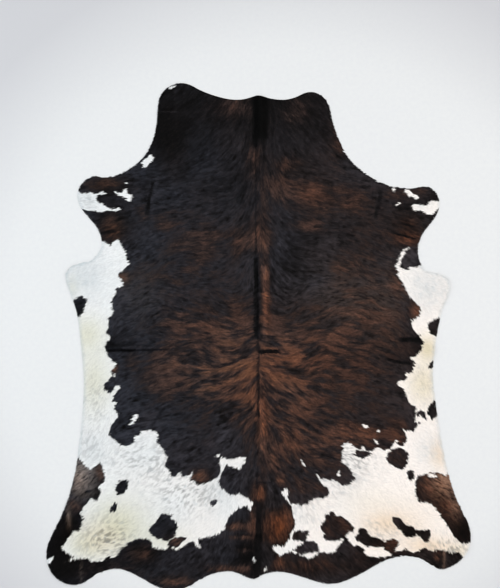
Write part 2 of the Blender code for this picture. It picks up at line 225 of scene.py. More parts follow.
# Brown brindle, as soft ovals (cm): how strongly it shows, and how even it is there, from 0 for
# stripes to 1 for a solid brown. A negative strength takes brown away.
Brindle = namedtuple("Brindle", "place x y reach_x reach_y strength even")
BRINDLE = [Brindle(*row) for row in (
    ("loin", -3, -12, 26, 17, 0.92, 0), ("croup", 6, -32, 26, 20, 0.75, 0),
    ("left loin", -24, -13, 18, 13, 0.52, 0), ("right loin", 24, -10, 20, 16, 0.42, 0),
    ("left loin, lower", -22, -21, 11, 6, 0.5, 0.1),
    ("ribs, left of the spine", -11, 14, 7, 8, 0.3, 0.2), ("left ribs", -20, 4, 20, 9, 0.45, 0),
    ("left ribs, edge", -34, 5.5, 9, 4, 0.5, 0.4), ("left loin, edge", -36, -10, 10, 5, 0.45, 0.4),
    ("left flank, lower", -42, -20, 8, 8, 0.45, 0.5),
    ("left flank border", -54, -10, 3.4, 4, 0.5, 0.6),
    ("left flank tuft", -61.4, -13.6, 1.8, 2.4, 1.0, 0.9), ("right ribs", 30, 2, 20, 12, 0.4, 0),
    ("left ribs, upper", -34, 26, 18, 7, 0.35, 0), ("left side, all", -46, 14, 14, 22, 0.14, 0.5),
    ("left shoulder", -23, 42, 8, 6, 0.6, 0.85), ("withers, left", -8, 40, 4.5, 6, 0.6, 0.8),
    ("withers, lower left", -25, 35, 5, 4, 0.5, 0.7), ("spine, shoulders", 1.2, 54, 3, 20, 0.24, 0.9),
    # The solid brown on the spine's ridge is partly brindle and partly painted highlight on the ridge's
    # lit side.
    ("spine, withers", 1, 41, 5, 7, 0.75, 0.9), ("spine ridge", 3.0, 15, 1.8, 17, 0.95, 0.9),
    ("spine ridge, top", 2.9, 26, 1.9, 4.5, 1.0, 0.9),
    ("right shoulder", 20, 61.5, 15, 6.4, 0.6, 0.85), ("right shoulder, side", 41, 57, 6, 5, 0.6, 0.7),
    ("right shoulder, middle", 25, 56, 10, 4, 0.4, 0.8),
    ("right shoulder, lower", 21, 47, 8, 4.4, 0.62, 0.7),
    ("right shoulder, spine", 8, 65, 7, 7, 0.36, 0.6), ("right side", 37, 30, 9, 4, 0.55, 0.3),
    ("right side, lower", 42, 14, 12, 7, 0.3, 0.2), ("right edge", 59, 22, 4, 6, 0.6, 0.5),
    ("right armpit", 65.5, 32.5, 4.5, 5, -2.0, 0), ("right bump", 67, 11, 3.4, 3.6, 0.85, 0.8),
    ("neck, middle", -9.5, 97.6, 9, 4.6, 0.5, 0.9), ("neck, right", 15.5, 95.5, 5, 6, 0.5, 0.95),
    ("neck, right, lower", 13, 73, 5, 3.4, 0.5, 0.6), ("neck edge, right", 33.5, 83, 4, 10, 0.5, 0.5),
    ("neck spine", -2, 76, 3.4, 7, 0.6, 0.5), ("left elbow", -62, 46, 6, 6, 0.66, 0.85),
    ("left foreleg", -64, 64.6, 11, 4, 0.5, 0.6), ("left upper arm", -49, 53, 3, 4, 0.45, 0.5),
    ("left upper arm, inner", -39.5, 47.5, 4, 3, 0.5, 0.85),
    ("left armpit, inner", -35, 38, 6, 3, 0.4, 0.7),
    ("left shoulder, edge", -36, 50, 10, 5, 0.35, 0.3), ("right elbow", 64, 41.5, 6, 3.6, 0.95, 0.6),
    ("right foreleg", 64, 49, 6, 4, 0.6, 0.5), ("right foreleg, upper", 64, 60.5, 11, 4, 0.45, 0.5),
    ("right ham", 24, -47, 16, 10, 0.7, 0.1), ("right thigh", 42, -42, 10, 5, 0.85, 0.35),
    ("right stifle", 59, -42, 6, 6, 0.7, 0.3), ("croup spine", 1.7, -40, 2.2, 13, 0.85, 0.9),
    ("croup, left", -12, -41, 6, 8, -0.9, 0), ("tail head, right", 6.5, -50, 3, 7, 0.75, 0.4),
    ("loin spine", 0, -11, 4, 6, -3.0, 0), ("left ham", -25, -60, 5, 3.4, 1.0, 0.7),
    ("tail root, right", 9.2, -61, 2.6, 3.4, 0.95, 0.8),
    ("right ham, lower", 20, -63, 9, 4, 0.55, 0.1),
    ("below the tail head", 0.8, -66.5, 3.4, 4, 1.0, 0.9),
    ("beside the tail", 9.6, -79, 6.4, 7, 1.0, 0.7), ("beside the tail, all", 8, -84, 8, 9, 0.55, 0.7),
    ("tail, left rim", -2.4, -79, 1.5, 7, 0.9, 0.8), ("tail head, dark", 6.6, -67.6, 3, 4.4, -2.5, 0),
    ("tail, right, dark", 4, -92, 4, 4, -1.5, 0),
    ("beside the tail, left", -7.6, -80.6, 6, 2.0, 0.95, 0.8),
    ("tail, lower right", 8.5, -95.5, 3, 3.4, 0.9, 0.8),
    ("beside the tail, left, lower", -6, -85.2, 7, 1.1, 0.6, 0.5),
    ("tail, left, lowest", -5, -90.6, 4, 1.4, 0.5, 0.4), ("lower edge", -12, -98.6, 12, 2.0, 0.8, 0.6),
    ("lower edge, left", -49, -92, 6, 4, 0.6, 0.5),
    ("lower edge, left rim", -36, -104, 9, 2.6, 0.8, 0.7),
    ("lower edge, right", 22, -97, 9, 4, 0.6, 0.5),
    ("lower edge, far left", -62, -100, 12, 5, 0.5, 0.2), ("left spot", -35, -87, 5, 3, 0.66, 0.8),
    ("right spots", 56, -88, 6, 4, 0.62, 0.6), ("lower edge, far right", 40, -95, 12, 6, 0.2, 0.4),
    ("left edge tuft", -58, 25, 3, 2.6, 0.9, 0.7), ("round spot", 59, -52, 7, 7, 0.4, 0.2),
    ("right rump spot", 34, -80, 8, 7, 0.55, 0.5), ("right shank", 74, -62, 7, 7, 0.75, 0.4),
    ("left shank", -67, -58, 3, 4.5, 0.9, 0.8), ("left shank, lower", -78, -72, 4, 2.6, 0.8, 0.8),
    ("right shank, lower", 81, -73, 6, 5, 0.55, 0.5), ("right toe", 76, -93.5, 2, 3, 0.6, 0.8),
    ("everywhere", 6, 10, 80, 90, 0.16, 0), ("right side, all", 50, 10, 16, 46, 0.34, 0.3),
    ("right of the ridge", 18, 33, 9, 10, -1.6, 0),
)]

# Tints, as soft ovals (cm). Cream, peach, grey and roan flecks are for the white, and dun, black
# and rust for the dark hair.
Oval = namedtuple("Oval", "place x y reach_x reach_y strength")
TINTS = {kind: [Oval(*row) for row in rows] for kind, rows in {
    "cream": (
        ("left flank", -73, 1, 8, 8, 0.55), ("left belly", -70, -19, 8, 13, 0.5),
        ("left flank rim", -79, 21, 3, 5, 0.3), ("left rump", -60, -81, 13, 12, 0.75),
        ("left rump, inner", -40, -86, 10, 6, 0.4), ("right flank", 71.5, -5, 4.5, 5.5, 0.9),
        ("right belly", 70, -20, 7, 9, 0.65), ("right toe, tip", 84, -91, 6, 4, 0.5),
        ("right rump, middle", 47, -70, 10, 6, 0.15), ("left rump, edge", -73, -88, 9, 7, 0.6),
    ),
    "peach": (
        ("left rump, brown", -66, -86, 9, 7, 0.28), ("right rump", 58, -80, 17, 10, 0.45),
        ("right stifle", 76.5, -50, 4, 6, 0.7), ("right rump, side", 54, -79, 8, 4, 0.6),
        ("right toe", 72, -89, 10, 4, 0.75),
    ),
    "grey": (
        # The grey at the left and right flank corners is painted shade where they curl up from the
        # floor.
        ("right stifle", 72, -48, 6, 8, 0.4), ("left flank corner", -74, 26, 9, 9, 0.6),
        ("right flank corner", 73, 20, 10, 10, 0.5), ("left rump, upper", -48, -52, 12, 8, 0.12),
        ("left rump, tail", -18, -64, 8, 8, 0.45), ("right rump, upper", 36, -58, 12, 8, 0.3),
        ("right rump, tail", 21, -74, 7, 7, 0.2), ("left stifle", -70, -48, 6, 6, 0.4),
        ("left foreleg", -72, 58, 6, 5, 0.3), ("right foreleg", 70, 56, 5, 3, 0.3),
    ),
    "roan": (
        ("left rump", -48, -52, 15, 9, 0.6), ("right toe", 81, -89.5, 8, 4, 0.8),
        ("left rump, tail", -31, -66, 13, 9, 0.85), ("left rump, lower", -64, -86, 11, 9, 0.95),
        ("left belly", -69, -28, 5, 10, 0.4), ("left foreleg", -72, 57, 6, 5, 0.3),
        ("left stifle", -72, -46, 6, 7, 0.35), ("right rump, upper", 40, -52, 9, 8, 0.8),
        ("right rump, tail", 20, -74, 7, 8, 0.25), ("right rump, lower", 54, -82, 10, 5, 0.45),
        ("right rump, inner", 28, -64, 10, 6, 0.45), ("right belly", 70, -20, 5, 10, 0.25),
    ),
    "dun": (
        # The narrow dun lines of the left shank, the left toe and the right toe are pale streaks along
        # folds: partly wear, partly painted highlight.
        ("left shank", -75.4, -59.5, 5, 6.6, 1.0), ("left shank, lower", -80.5, -76, 1.0, 4, 0.35),
        ("left toe, worn", -75.2, -99.5, 0.7, 5, 0.16), ("right shank", 78.6, -61.5, 4.6, 6, 0.85),
        ("right shank, lower", 83.4, -72, 2.4, 5, 0.35), ("right toe", 78.6, -94, 0.6, 5, 0.3),
        ("right ribs", 37, 18, 15, 12, 0.08), ("right edge", 55, 15, 7, 14, 0.06),
        ("left ribs", -51, 18, 10, 12, 0.06),
    ),
    "black": (
        ("left shank, blob", -68, -67, 4, 5, 0.95), ("left rump, large spot", -39, -81.5, 8, 7, 0.6),
        ("left rump, spots", -58, -65, 5, 5, 0.7), ("left shank, dark", -79, -80, 5, 8, 1.0),
        ("left shank, band", -74, -67, 5, 2.4, 0.9), ("left shank, lowest", -84, -87, 7, 9, 1.0),
        ("left flank spot", -76, 13, 4, 6, 0.7), ("right shank, tip", 87, -83, 8, 8, 1.0),
        ("right shank, edge", 73, -75, 6, 6, 0.95), ("right shank, inner edge", 67, -67, 3, 5, 0.9),
        ("right rump spots, middle", 50, -87, 12, 8, 0.8),
        ("right rump spots, side", 66, -82, 12, 8, 0.85),
        ("lower edge, right side", 56, -97, 18, 5, 0.6), ("neck", -4, 104, 48, 15, 0.85),
        ("neck, left", -36, 84, 7, 13, 1.0), ("neck, left rim", -42, 88, 8, 16, 1.0),
        ("neck, middle left", -26, 88, 16, 12, 0.5), ("neck, right", 22, 92, 18, 14, 0.5),
        ("neck spine", 0.5, 94, 5, 16, 0.9), ("left belly", -60, -2, 8, 5, 0.5),
        ("right foreleg", 62, 53, 10, 12, 0.5), ("left foreleg", -64, 54, 11, 9, 0.75),
        ("tail", -2, -90, 8, 20, 0.7), ("tail, left", -6, -92, 5, 8, 1.0),
        ("tail head, right", 6.5, -68, 4, 5, 0.5), ("left toe", -82, -92, 10, 16, 0.95),
        ("left toe, tip", -84, -98, 8, 8, 1.0), ("lower edge, far left", -68, -97, 15, 8, 0.95),
        ("lower edge, left, upper", -50, -91, 12, 7, 0.95),
        # The black at the right flank's creases is painted shade.
        ("right flank, creases", 66, -5, 5, 5, 0.8), ("right toe", 82, -92, 10, 12, 0.6),
        ("lower edge, right", 40, -100, 30, 8, 0.45), ("lower edge, left", -30, -100, 34, 8, 0.35),
        ("right belly", 55, -6, 10, 10, 0.4), ("left shoulder", -18, 64, 16, 12, 0.6),
        ("right of the ridge", 16, 32, 10, 12, 0.66), ("left of the spine", -5, 60, 5, 14, 0.45),
        ("right shoulder", 16, 74, 18, 8, 0.4), ("neck, all", -6, 95, 46, 20, 0.6),
        ("right side", 40, 44, 18, 9, 0.4), ("back, right", 20, 44, 9, 8, 0.45),
        ("right foreleg, rim", 75, 56, 4, 8, 0.9), ("right edge spots", 74, -12, 5, 30, 0.75),
    ),
    "rust": (
        ("left shank, worn", -77, -62, 4, 5, 0.3), ("left shank, lowest", -81, -84, 6, 9, 0.8),
        ("left toe", -82, -96, 10, 8, 0.5), ("beside the tail", 8, -82, 8, 12, 0.95),
        ("tail head", 1, -67, 4, 5, 0.5), ("right shank", 77, -69, 8, 12, 0.6),
        ("right shank, tip", 86, -83, 7, 7, 0.8), ("lower edge", 20, -98, 24, 5, 0.5),
        ("spine ridge", 3, 14, 2.5, 18, 0.2), ("croup spine", 1.6, -38, 3, 12, 0.5),
        ("lower edge, left", -49, -92, 6, 4, 0.6), ("left elbow", -61, 45, 8, 8, 0.7),
        ("left foreleg", -66, 64, 12, 5, 0.6), ("neck, left", -38, 86, 10, 14, 0.25),
        ("right elbow", 63, 44, 7, 7, 0.55), ("right rump spot", 34, -80, 8, 7, 0.3),
        ("right rump spots", 60, -85, 22, 11, 0.65),
    ),
}.items()}

# Markings, in the photograph's pixels (x to the right, y down): white ones and dark ones, each
# painted over those above
Marking = namedtuple("Marking", "place is_white corners")
MARKINGS = [Marking(*row) for row in (
    ("left flank and rump", True, (
        (102, 239.5), (106, 242.5), (111, 245.5), (114, 241.5), (119, 239.7), (121, 244), (124.5, 250),
        (127.5, 259), (129.8, 264), (125.5, 268.5), (124, 271), (120, 273), (118, 276), (123, 279),
        (122, 281), (125, 284), (122.5, 287), (117, 287.5), (116, 290), (116.5, 293), (112.5, 301),
        (112.5, 309), (114.5, 311), (111.5, 317), (109, 318), (107.5, 328), (106.5, 334), (111.3, 336),
        (110.5, 339), (105.5, 345), (105.2, 349), (110.5, 358.5), (117, 363), (112.5, 370),
        (111.5, 376.5), (106.5, 382), (104, 388), (107.5, 392.5), (111, 393.5), (116, 385.5),
        (121, 386.5), (117, 391.5), (112.5, 400), (116.5, 403), (114.5, 409.5), (119, 414.5),
        (117.5, 417.5), (111.5, 425), (109.5, 430), (109.5, 434), (114, 438.5), (120, 443.5),
        (127, 446.5), (130, 445), (134.5, 440), (136.5, 434.5), (139, 435.5), (144, 430), (155, 430),
        (158.5, 434), (157, 442), (162.5, 447), (163, 451), (168.5, 456.5), (165, 464.5), (170, 472),
        (171.5, 476), (175, 477), (180, 471), (183, 476.5), (190, 474.5), (193.5, 469.5), (193.5, 473),
        (190, 480), (194, 480), (199, 485), (207, 482), (218, 476.5), (221, 469.5), (219.5, 462),
        (220.5, 457), (224, 458), (234, 458), (246, 456.5), (245, 463), (240, 469), (230, 466),
        (227, 464.5), (223, 470.5), (219, 482), (221.5, 488), (225, 489.5), (227, 493.5), (231, 494.5),
        (239, 492.5), (244, 495.5), (250, 499.5), (252.5, 502), (250, 511), (247.5, 505.5), (239, 508),
        (232, 513), (224.5, 526), (226.5, 528.5), (218, 533), (210, 537), (199, 538.5), (198.5, 542),
        (201, 547.5), (197, 547), (194, 541.5), (190, 542.5), (177, 550), (174.5, 549), (170, 546),
        (166, 549), (154, 548), (152, 541.5), (146, 538), (143, 539.5), (139, 538), (130, 541),
        (127, 545), (120, 550.5), (118, 556), (107, 557.5), (103, 561), (91, 561), (85, 558),
        (80, 559), (66, 561.5), (71, 558.5), (74, 556.5), (66, 552), (61, 548), (68, 538), (73, 530),
        (80, 530), (84, 519), (80.5, 513), (86, 503.5), (91.5, 497), (95, 501), (98, 500), (101, 492),
        (98.5, 487), (104, 483), (106, 476), (103, 469), (103, 465), (101, 463), (91, 470), (86, 466),
        (80.5, 460), (79, 457.5), (60, 452), (66, 400), (60, 330), (54, 275), (62, 258), (95, 232))),
    ("right flank and rump", True, (
        (411, 246.5), (407, 247.5), (403, 249.5), (400, 255), (397, 262), (394.5, 266), (396, 269),
        (398, 272), (398.5, 279.5), (401.5, 282), (405.5, 288.5), (408, 295), (413.5, 301),
        (419.5, 306), (420, 310), (418, 316.5), (411, 320), (412.5, 328.5), (417, 334.5), (420, 335),
        (419.5, 338.5), (423.5, 342.5), (420.5, 350), (414, 357), (408.5, 355.5), (414, 361),
        (414, 366), (410, 373.5), (405, 371.5), (406.5, 377.5), (404, 380), (398, 381), (397.5, 384),
        (404, 390), (406, 394.5), (408.5, 403), (415.5, 407.5), (414.5, 411), (416, 414), (413, 417),
        (415.5, 419.5), (413, 422), (419, 422.5), (413, 430), (406, 430), (402, 428), (405.5, 434),
        (406, 441), (401, 446.5), (398, 445), (396, 440), (390, 446), (389.5, 449), (383, 450.5),
        (376, 446), (372, 451), (366, 449), (363.5, 445), (360, 450), (352, 446), (348, 441),
        (343, 444), (342, 452), (341, 461), (349, 469), (355.5, 479), (350, 482), (350.5, 485),
        (343, 485.5), (333, 479), (330, 480.5), (320, 478), (316, 472), (318, 479), (321, 484),
        (328, 487.5), (328, 495), (321, 498), (314, 498), (305, 504), (291, 503.5), (287.5, 497),
        (288.5, 490.5), (287.5, 488), (284, 490.5), (280, 491), (285, 498), (291, 506.5), (294.5, 520),
        (293, 528.5), (289, 538), (284, 545), (274, 545.5), (271.5, 548.5), (276, 552), (280, 557.5),
        (283, 553.5), (290, 551.5), (300, 555), (310.6, 559), (320, 551.5), (331, 553), (337, 551.5),
        (335, 549.5), (341, 543), (345, 537), (350, 541), (352, 545.5), (357, 545), (365, 548.5),
        (363, 552), (366, 554.5), (372, 556), (381, 557.5), (386, 556), (393, 555.5), (392, 549.5),
        (395, 552), (404, 549.5), (413, 553), (421, 548.5), (425, 547.5), (429, 550), (443, 549.5),
        (452, 553.5), (458, 552), (464, 558.5), (480, 562), (480, 540), (469.5, 542), (463, 543),
        (459, 541), (455, 537), (450, 529.5), (449, 525.5), (443, 519), (439.5, 515), (440, 512),
        (430, 503.5), (426, 501.5), (422, 503), (415, 496), (415.5, 482), (416, 477), (426, 473.5),
        (432, 471.5), (441, 473), (445, 476), (447.5, 474), (462, 468), (452, 420), (448, 360),
        (454, 310), (464, 278), (440, 262), (426, 262), (424, 250))),
    ("left foreleg", True, (
        (78, 191), (82, 193), (91, 192.5), (94, 193.5), (98, 193.5), (103, 191), (107.5, 194),
        (99.5, 195.5), (97.5, 197.5), (97, 200), (98, 202.5), (104, 203.2), (105, 205.5), (110, 208.7),
        (117, 208.5), (118, 206.5), (122, 209), (124, 211), (117, 211.3), (107, 210.8), (99, 212.3),
        (92, 211), (88, 211), (84, 209.7), (72, 204), (70, 192))),
    ("left foreleg, blotch", True, (
        (114.5, 191.5), (118, 192.5), (121, 192.5), (123, 190.5), (124, 188), (127, 189), (127.5, 192),
        (131.5, 195), (134.5, 195), (131.5, 199.5), (129.5, 201.5), (124, 197.5), (118.5, 195))),
    ("left foreleg, speck", True, ((127, 181.5), (129, 184), (128, 186), (126, 184))),
    ("neck spot", True, (
        (150.5, 154.5), (152.5, 155), (153.5, 158), (153, 161), (151, 164), (145.5, 168), (143.5, 167),
        (142.5, 164), (143, 161.5), (146, 159))),
    ("neck, rim tuft", True, ((167, 85), (171, 86.5), (175.5, 87), (173, 88.5), (168, 89))),
    ("right foreleg, upper", True, (
        (403.5, 190.5), (406, 189), (409, 190), (411, 192), (416, 194.5), (419, 195), (418, 198),
        (415, 199.5), (411, 196.5), (408, 197), (406, 194))),
    ("right foreleg, lower", True, (
        (411.5, 204), (418, 204.5), (426, 205), (430, 200.5), (439, 201), (448, 204), (437, 209),
        (434, 213), (432, 215.5), (424, 213), (420, 211), (414, 210.5))),
    ("right foreleg, tick", True, ((391.5, 187), (395.5, 187), (394.5, 192), (392, 191.5))),
    ("right foreleg, sliver", True, ((394.5, 204.5), (400, 202.7), (398, 205), (395.5, 206))),
    ("rump, small", True, ((216, 457), (218, 454), (221, 453.5), (219, 457.5))),
    ("left belly, speck", True, ((114, 373), (116.5, 373.5), (116, 377), (113.5, 376.5))),
    ("left thigh, streak", True, (
        (129, 425), (131, 421), (135, 414), (138.5, 414.5), (138, 418.5), (136.5, 421.5), (130.5, 425))),
    ("left toe", True, ((44, 560), (51.5, 556.5), (53.5, 555.5), (54, 559), (50, 563))),
    ("tail, specks", True, ((252, 555), (254.5, 556.5), (256.5, 560), (255.5, 562.5), (253, 559))),
    ("tail, rim", True, ((264, 570), (264.5, 567), (266.5, 566), (266, 569.5))),
    ("right rump, sliver", True, ((299, 459), (301, 459), (305.5, 465), (304.5, 466.5))),
    ("right shank, sliver", True, (
        (427, 474), (429.5, 472.8), (434, 475), (438, 475), (437, 477.3), (432.5, 477), (429, 475.8))),
    ("right thigh, bit", True, ((361, 424.5), (364, 424), (368, 426.5), (366, 428.5), (362, 427))),
    ("right thigh, dot", True, ((376.5, 428.5), (379.5, 430.5), (378, 432))),
    ("right thigh, lower dot", True, ((373, 438.5), (377, 441), (378, 443.5), (375, 443))),
    ("right armpit", False, (
        (408, 248.5), (411, 246), (415, 244), (424, 244), (426, 258), (419, 264), (416.5, 267.5),
        (410, 266.5), (408, 269), (404, 269), (399, 267), (402, 259), (405, 251))),
    ("left flank edge", False, (
        (72, 303), (79, 297), (81.5, 295.5), (87, 299), (87.5, 301.5), (86, 305), (82.5, 313),
        (80.5, 316), (78.5, 316.5), (74, 313))),
    ("left rump, oval", False, (
        (115.5, 489.5), (117, 484), (120.5, 481), (128.5, 481), (127, 487.5), (124, 492.5),
        (118, 495.5))),
    ("left rump, dot", False, (
        (110.5, 511.5), (111.5, 506), (114.5, 502), (117, 504.5), (116.8, 508.5), (114.5, 511.5))),
    ("beside the tail, left", False, (
        (209.5, 505), (210.5, 501.5), (214, 499.5), (218.5, 499), (216.5, 502.5), (213, 505.5))),
    ("left rump, large", False, (
        (149.5, 527.5), (156, 522.5), (157, 519), (160, 514.5), (164, 513), (173, 514.5), (171, 518.5),
        (175, 520), (178, 527), (176.5, 531), (177, 535), (168, 540.5), (157, 538.5), (151, 533.5))),
    ("left rump, brown", False, (
        (167, 545), (169, 541.5), (172, 538), (181, 536.5), (186, 538), (180, 544.5), (176, 547),
        (172, 546.5))),
    ("right flank edge, upper", False, (
        (446, 317), (436, 318.5), (432, 320.5), (428, 323), (427, 327.5), (431, 335), (440, 336))),
    ("right flank edge, middle", False, (
        (440, 358.5), (430, 361.5), (427.5, 366.5), (430, 368), (440, 368))),
    ("right flank edge, lower", False, (
        (444, 398), (434.5, 400), (431.5, 403), (428, 407), (427, 411), (429, 415.5), (432, 418),
        (446, 414))),
    ("right thigh, brown arc", False, (
        (416, 413), (419, 410), (421, 410), (424, 412.5), (427, 418.5), (426, 420), (422, 416.5),
        (420, 415), (417, 416))),
    ("right thigh, island", False, (
        (353, 453.5), (357, 450.5), (362, 451), (366, 450), (371, 453.5), (367, 456), (363, 458),
        (358, 457.5))),
    ("right stifle, round", False, (
        (391, 449), (396, 447.5), (401, 448.5), (408.5, 452), (408, 457), (407.5, 462), (405, 466),
        (400, 469), (395, 467.5), (387, 461.5), (385.5, 458), (387.5, 454.5))),
    ("right stifle, small", False, (
        (409.5, 469.5), (412.5, 470.5), (414.3, 475), (413, 479.5), (410, 480), (407.6, 477.5),
        (407.6, 473))),
    ("right rump, large", False, (
        (320.5, 527), (323, 522), (326, 518), (325, 515), (328, 514), (330, 511), (333, 511.5),
        (335, 515), (340, 516.5), (348, 521), (354, 527.5), (352, 531), (346, 534), (345, 537),
        (340, 539.5), (330, 540.5), (326, 540), (323, 537), (324, 533))),
    ("right rump, middle", False, (
        (355, 536.5), (358, 533), (359, 529), (362, 528), (365, 530), (367, 533), (371, 535.5),
        (383.5, 540.5), (382, 545), (378, 547.5), (370, 545), (368, 547), (361, 542.5), (357, 540))),
    ("right rump, brown", False, (
        (382, 543), (386, 540), (391, 538.8), (397, 540), (398.5, 543.5), (395, 548), (394.5, 551),
        (399, 554.5), (392, 556.5), (388, 552), (384.5, 548))),
    ("right rump, slanted", False, (
        (391.8, 516.4), (395.8, 517), (400.8, 518.8), (403, 523.8), (406, 524.6), (410, 524.2),
        (413.2, 528.2), (417.2, 530.4), (420.6, 530.2), (427.6, 529.2), (430.4, 533.3), (429.4, 538.6),
        (427.6, 541.8), (424.2, 541.4), (420.8, 538.8), (416.8, 534.4), (413.2, 536), (409.2, 538),
        (404, 534.4), (401.8, 530.8), (395.4, 526.4), (393, 522.2))),
    ("beside the tail, right", False, (
        (293, 532.5), (300, 530.5), (309, 530.5), (307, 535), (306, 539), (302, 541), (294, 540),
        (292.5, 537))),
    ("beside the tail, lower right", False, (
        (292, 549.5), (297, 547), (301, 543.5), (305, 541), (311, 540), (318, 543), (318, 550),
        (310, 553), (300, 554))),
    ("right rump, dot in the strip", True, (
        (336, 472), (339, 470.5), (340.5, 473), (339.5, 476), (337, 475))),
)]
MARK_REACH = 3.0 * CM           # depths inside and outside a marking are known up to this
WHITE_BACK = 1.0 * MM           # how far the white stays behind its outline
WHITE_RAGGED = 2.25 * MM        # how far tufts carry a marking's border to and fro
WHITE_BORDER = 1.6 * MM         # width over which white turns to dark
CURLY_BORDER = 1.0 * CM         # width over which the hair turns curly
RIM_SHADE_WIDTH = 1.6 * CM       # width of the strip of painted shade that greys the white along the rim
LEAST_SHADE = 0.04              # light that the darkest hair still throws back

# Looks: the level of each, and how much of each noise goes into it
LOOKS = {
    "turn": (0.0, {"tuft": 1.0, "small tuft": 0.6}),
    "blotch": (0.0, {"spot": 1.0, "small spot": 0.6}),
    "patch": (0.0, {"cloud": 0.7, "bands": 0.55}),
    "border": (0.0, {"fine": 0.7, "tongue": 1.0}),
    "stripes": (0.49, {"wide": 0.165, "fine": 0.105, "patch": 0.26}),
    "plain brown": (0.8, {"fine": 0.08, "blotch": 0.16}),
    "dun": (0.74, {"ticks": 0.36}),
    "grey": (0.8, {"blotch": 0.25}),
    "roan": (0.3, {"ticks": 0.5, "blotch": 0.4}),
    # fade: how far the black hair greys, partly a painted sheen
    "fade": (0.64, {"blotch": 0.20, "patch": 0.16, "ticks": 0.12, "wide": 0.14, "fine": 0.08}),
    "mottle": (0.0, {"fine": 0.12, "blotch": 0.10}),
}
STRIPE_GAIN = 0.25              # how much more of the stripes is brown where the brindle is strong
STRIPE_LEAST = 0.15             # brown that is left between the stripes
CREASE_PAINTED_SHADE = 0.85              # how dark the painted shade of a full crease is
CREASE_FLECKS = 0.25            # how much the fine streaks break a crease's painted shade up
CREASE_HIDES = 0.8              # how much of the brown a full crease's painted shade hides
CREASE_PALE = 0.6               # how much weaker a crease's painted shade is in the white
ROAN_DARK = 0.6                 # how dark the roan flecks are
FLECKS_FROM, FLECKS_RISE = 0.5, 1.6     # where the blotches turn grey, and how fast
FLECKS_LEAST, FLECKS_ROAN = 0.1, 0.5    # how grey they are in all of the white, and in the roan
RIM_PAINTED_SHADE = 0.4                  # how much painted shade greys the white at the rim

# Noises: the size of their bumps, and the seed of each
NOISES = {
    "tuft": (2.6 * CM, 3), "small tuft": (1.3 * CM, 4), "tongue": (1.1 * CM, 5),
    "spot": (1.3 * CM, 6), "small spot": (0.7 * CM, 7), "cloud": (7.0 * CM, 9),
    "warmth": (12.0 * CM, 8), "sway": (5.0 * CM, 14),
}
NOISE_CELLS = 512

# Streaks: noise drawn out along the hair, with its grain, its length and its seed
STREAKS = {
    "bands": (24.0 * MM, 12.0 * CM, 10), "wide": (12.0 * MM, 6.0 * CM, 1),
    "fine": (4.5 * MM, 3.0 * CM, 2), "ticks": (4.0 * MM, 1.6 * CM, 12),
}

# Grid on which the markings and the lie of the hair are worked out
GRID_STEP = 2.5 * MM
GRID_MARGIN = 3.0 * CM
GRID_LOW = np.array([cad_bounds[0][axis] - GRID_MARGIN for axis in (0, 1)])
GRID_HIGH = np.array([cad_bounds[1][axis] + GRID_MARGIN for axis in (0, 1)])
GRID_CELLS = np.ceil((GRID_HIGH - GRID_LOW) / GRID_STEP).astype(int) + 1
GRID_X, GRID_Y = np.meshgrid(GRID_LOW[0] + GRID_STEP * np.arange(GRID_CELLS[0]),
                             GRID_LOW[1] + GRID_STEP * np.arange(GRID_CELLS[1]))
INSIDE_LAST = 1.001             # keeps a spot just inside the grid's last cell


def ease(share):
    """Soft step from 0 to 1."""
    share = np.clip(share, 0.0, 1.0)
    return share * share * (3.0 - 2.0 * share)


def weigh(look, noises):
    """A look's level and the noises that go into it."""
    level, weights = LOOKS[look]
    return level + sum(weight * noises[name] for name, weight in weights.items())


def four_blend(table, rows, columns, u, v):
    """A value between four of a table's, u of the way along the columns and v along the rows."""
    near = table[rows[0], columns[0]] * (1 - u) + table[rows[0], columns[1]] * u
    far = table[rows[1], columns[0]] * (1 - u) + table[rows[1], columns[1]] * u
    return near * (1 - v) + far * v


def sample(field, x, y):
    """Value of a grid's field at spots between its points."""
    u = np.clip((x - GRID_LOW[0]) / GRID_STEP, 0.0, GRID_CELLS[0] - INSIDE_LAST)
    v = np.clip((y - GRID_LOW[1]) / GRID_STEP, 0.0, GRID_CELLS[1] - INSIDE_LAST)
    column, row = u.astype(int), v.astype(int)
    return four_blend(field, (row, row + 1), (column, column + 1), u - column, v - row)


def value_noise(x, y, size, seed):
    """Smooth noise from -1 to 1 with bumps about one size across."""
    cells = NOISE_CELLS
    table = np.random.default_rng(SEED + seed).uniform(-1.0, 1.0, (cells, cells))
    u, v = x / size + cells / 2, y / size + cells / 2
    column, row = np.floor(u).astype(int), np.floor(v).astype(int)
    rows, columns = (row % cells, (row + 1) % cells), (column % cells, (column + 1) % cells)
    return four_blend(table, rows, columns, ease(u - column), ease(v - row))


def noise(name, x, y):
    """One of the noises of the table."""
    return value_noise(x, y, *NOISES[name])


def run_along(start, end, x, y):
    """Length of a line (cm), and how far along it and to its left each spot lies, in metres."""
    start, end = np.array(start) * CM, np.array(end) * CM
    length = np.linalg.norm(end - start)
    run = (end - start) / length
    x, y = x - start[0], y - start[1]
    return length, x * run[0] + y * run[1], y * run[0] - x * run[1]


def fold_height(fold, x, y):
    """Height of one fold ridge over each spot."""
    length, along, across = run_along(fold.start, fold.end, x, y)
    reach = np.where(across > 0.0, fold.left_cm, fold.right_cm) * CM
    crest = 0.5 + 0.5 * np.cos(math.pi * np.clip(across / reach, -1.0, 1.0))
    fade = ease(along / FOLD_FADE) * ease((length - along) / FOLD_FADE)
    swell = 1.0 + FOLD_SWELL * np.sin(along / SWELL_LENGTH + fold.start[0])
    return fold.rise_mm * MM * crest * fade * swell


def lift(x, y):
    """Height of the underside over the floor at each spot, the solid's own."""
    height = np.zeros(x.shape)
    for fold in FOLDS:
        height = np.maximum(height, fold_height(fold, x, y))
    for curl in CURLS:
        gap = np.hypot(x - curl.centre[0] * CM, y - curl.centre[1] * CM)
        height = np.maximum(height, curl.rise_mm * MM * ease(1.0 - gap / (curl.reach_cm * CM)))
    return height


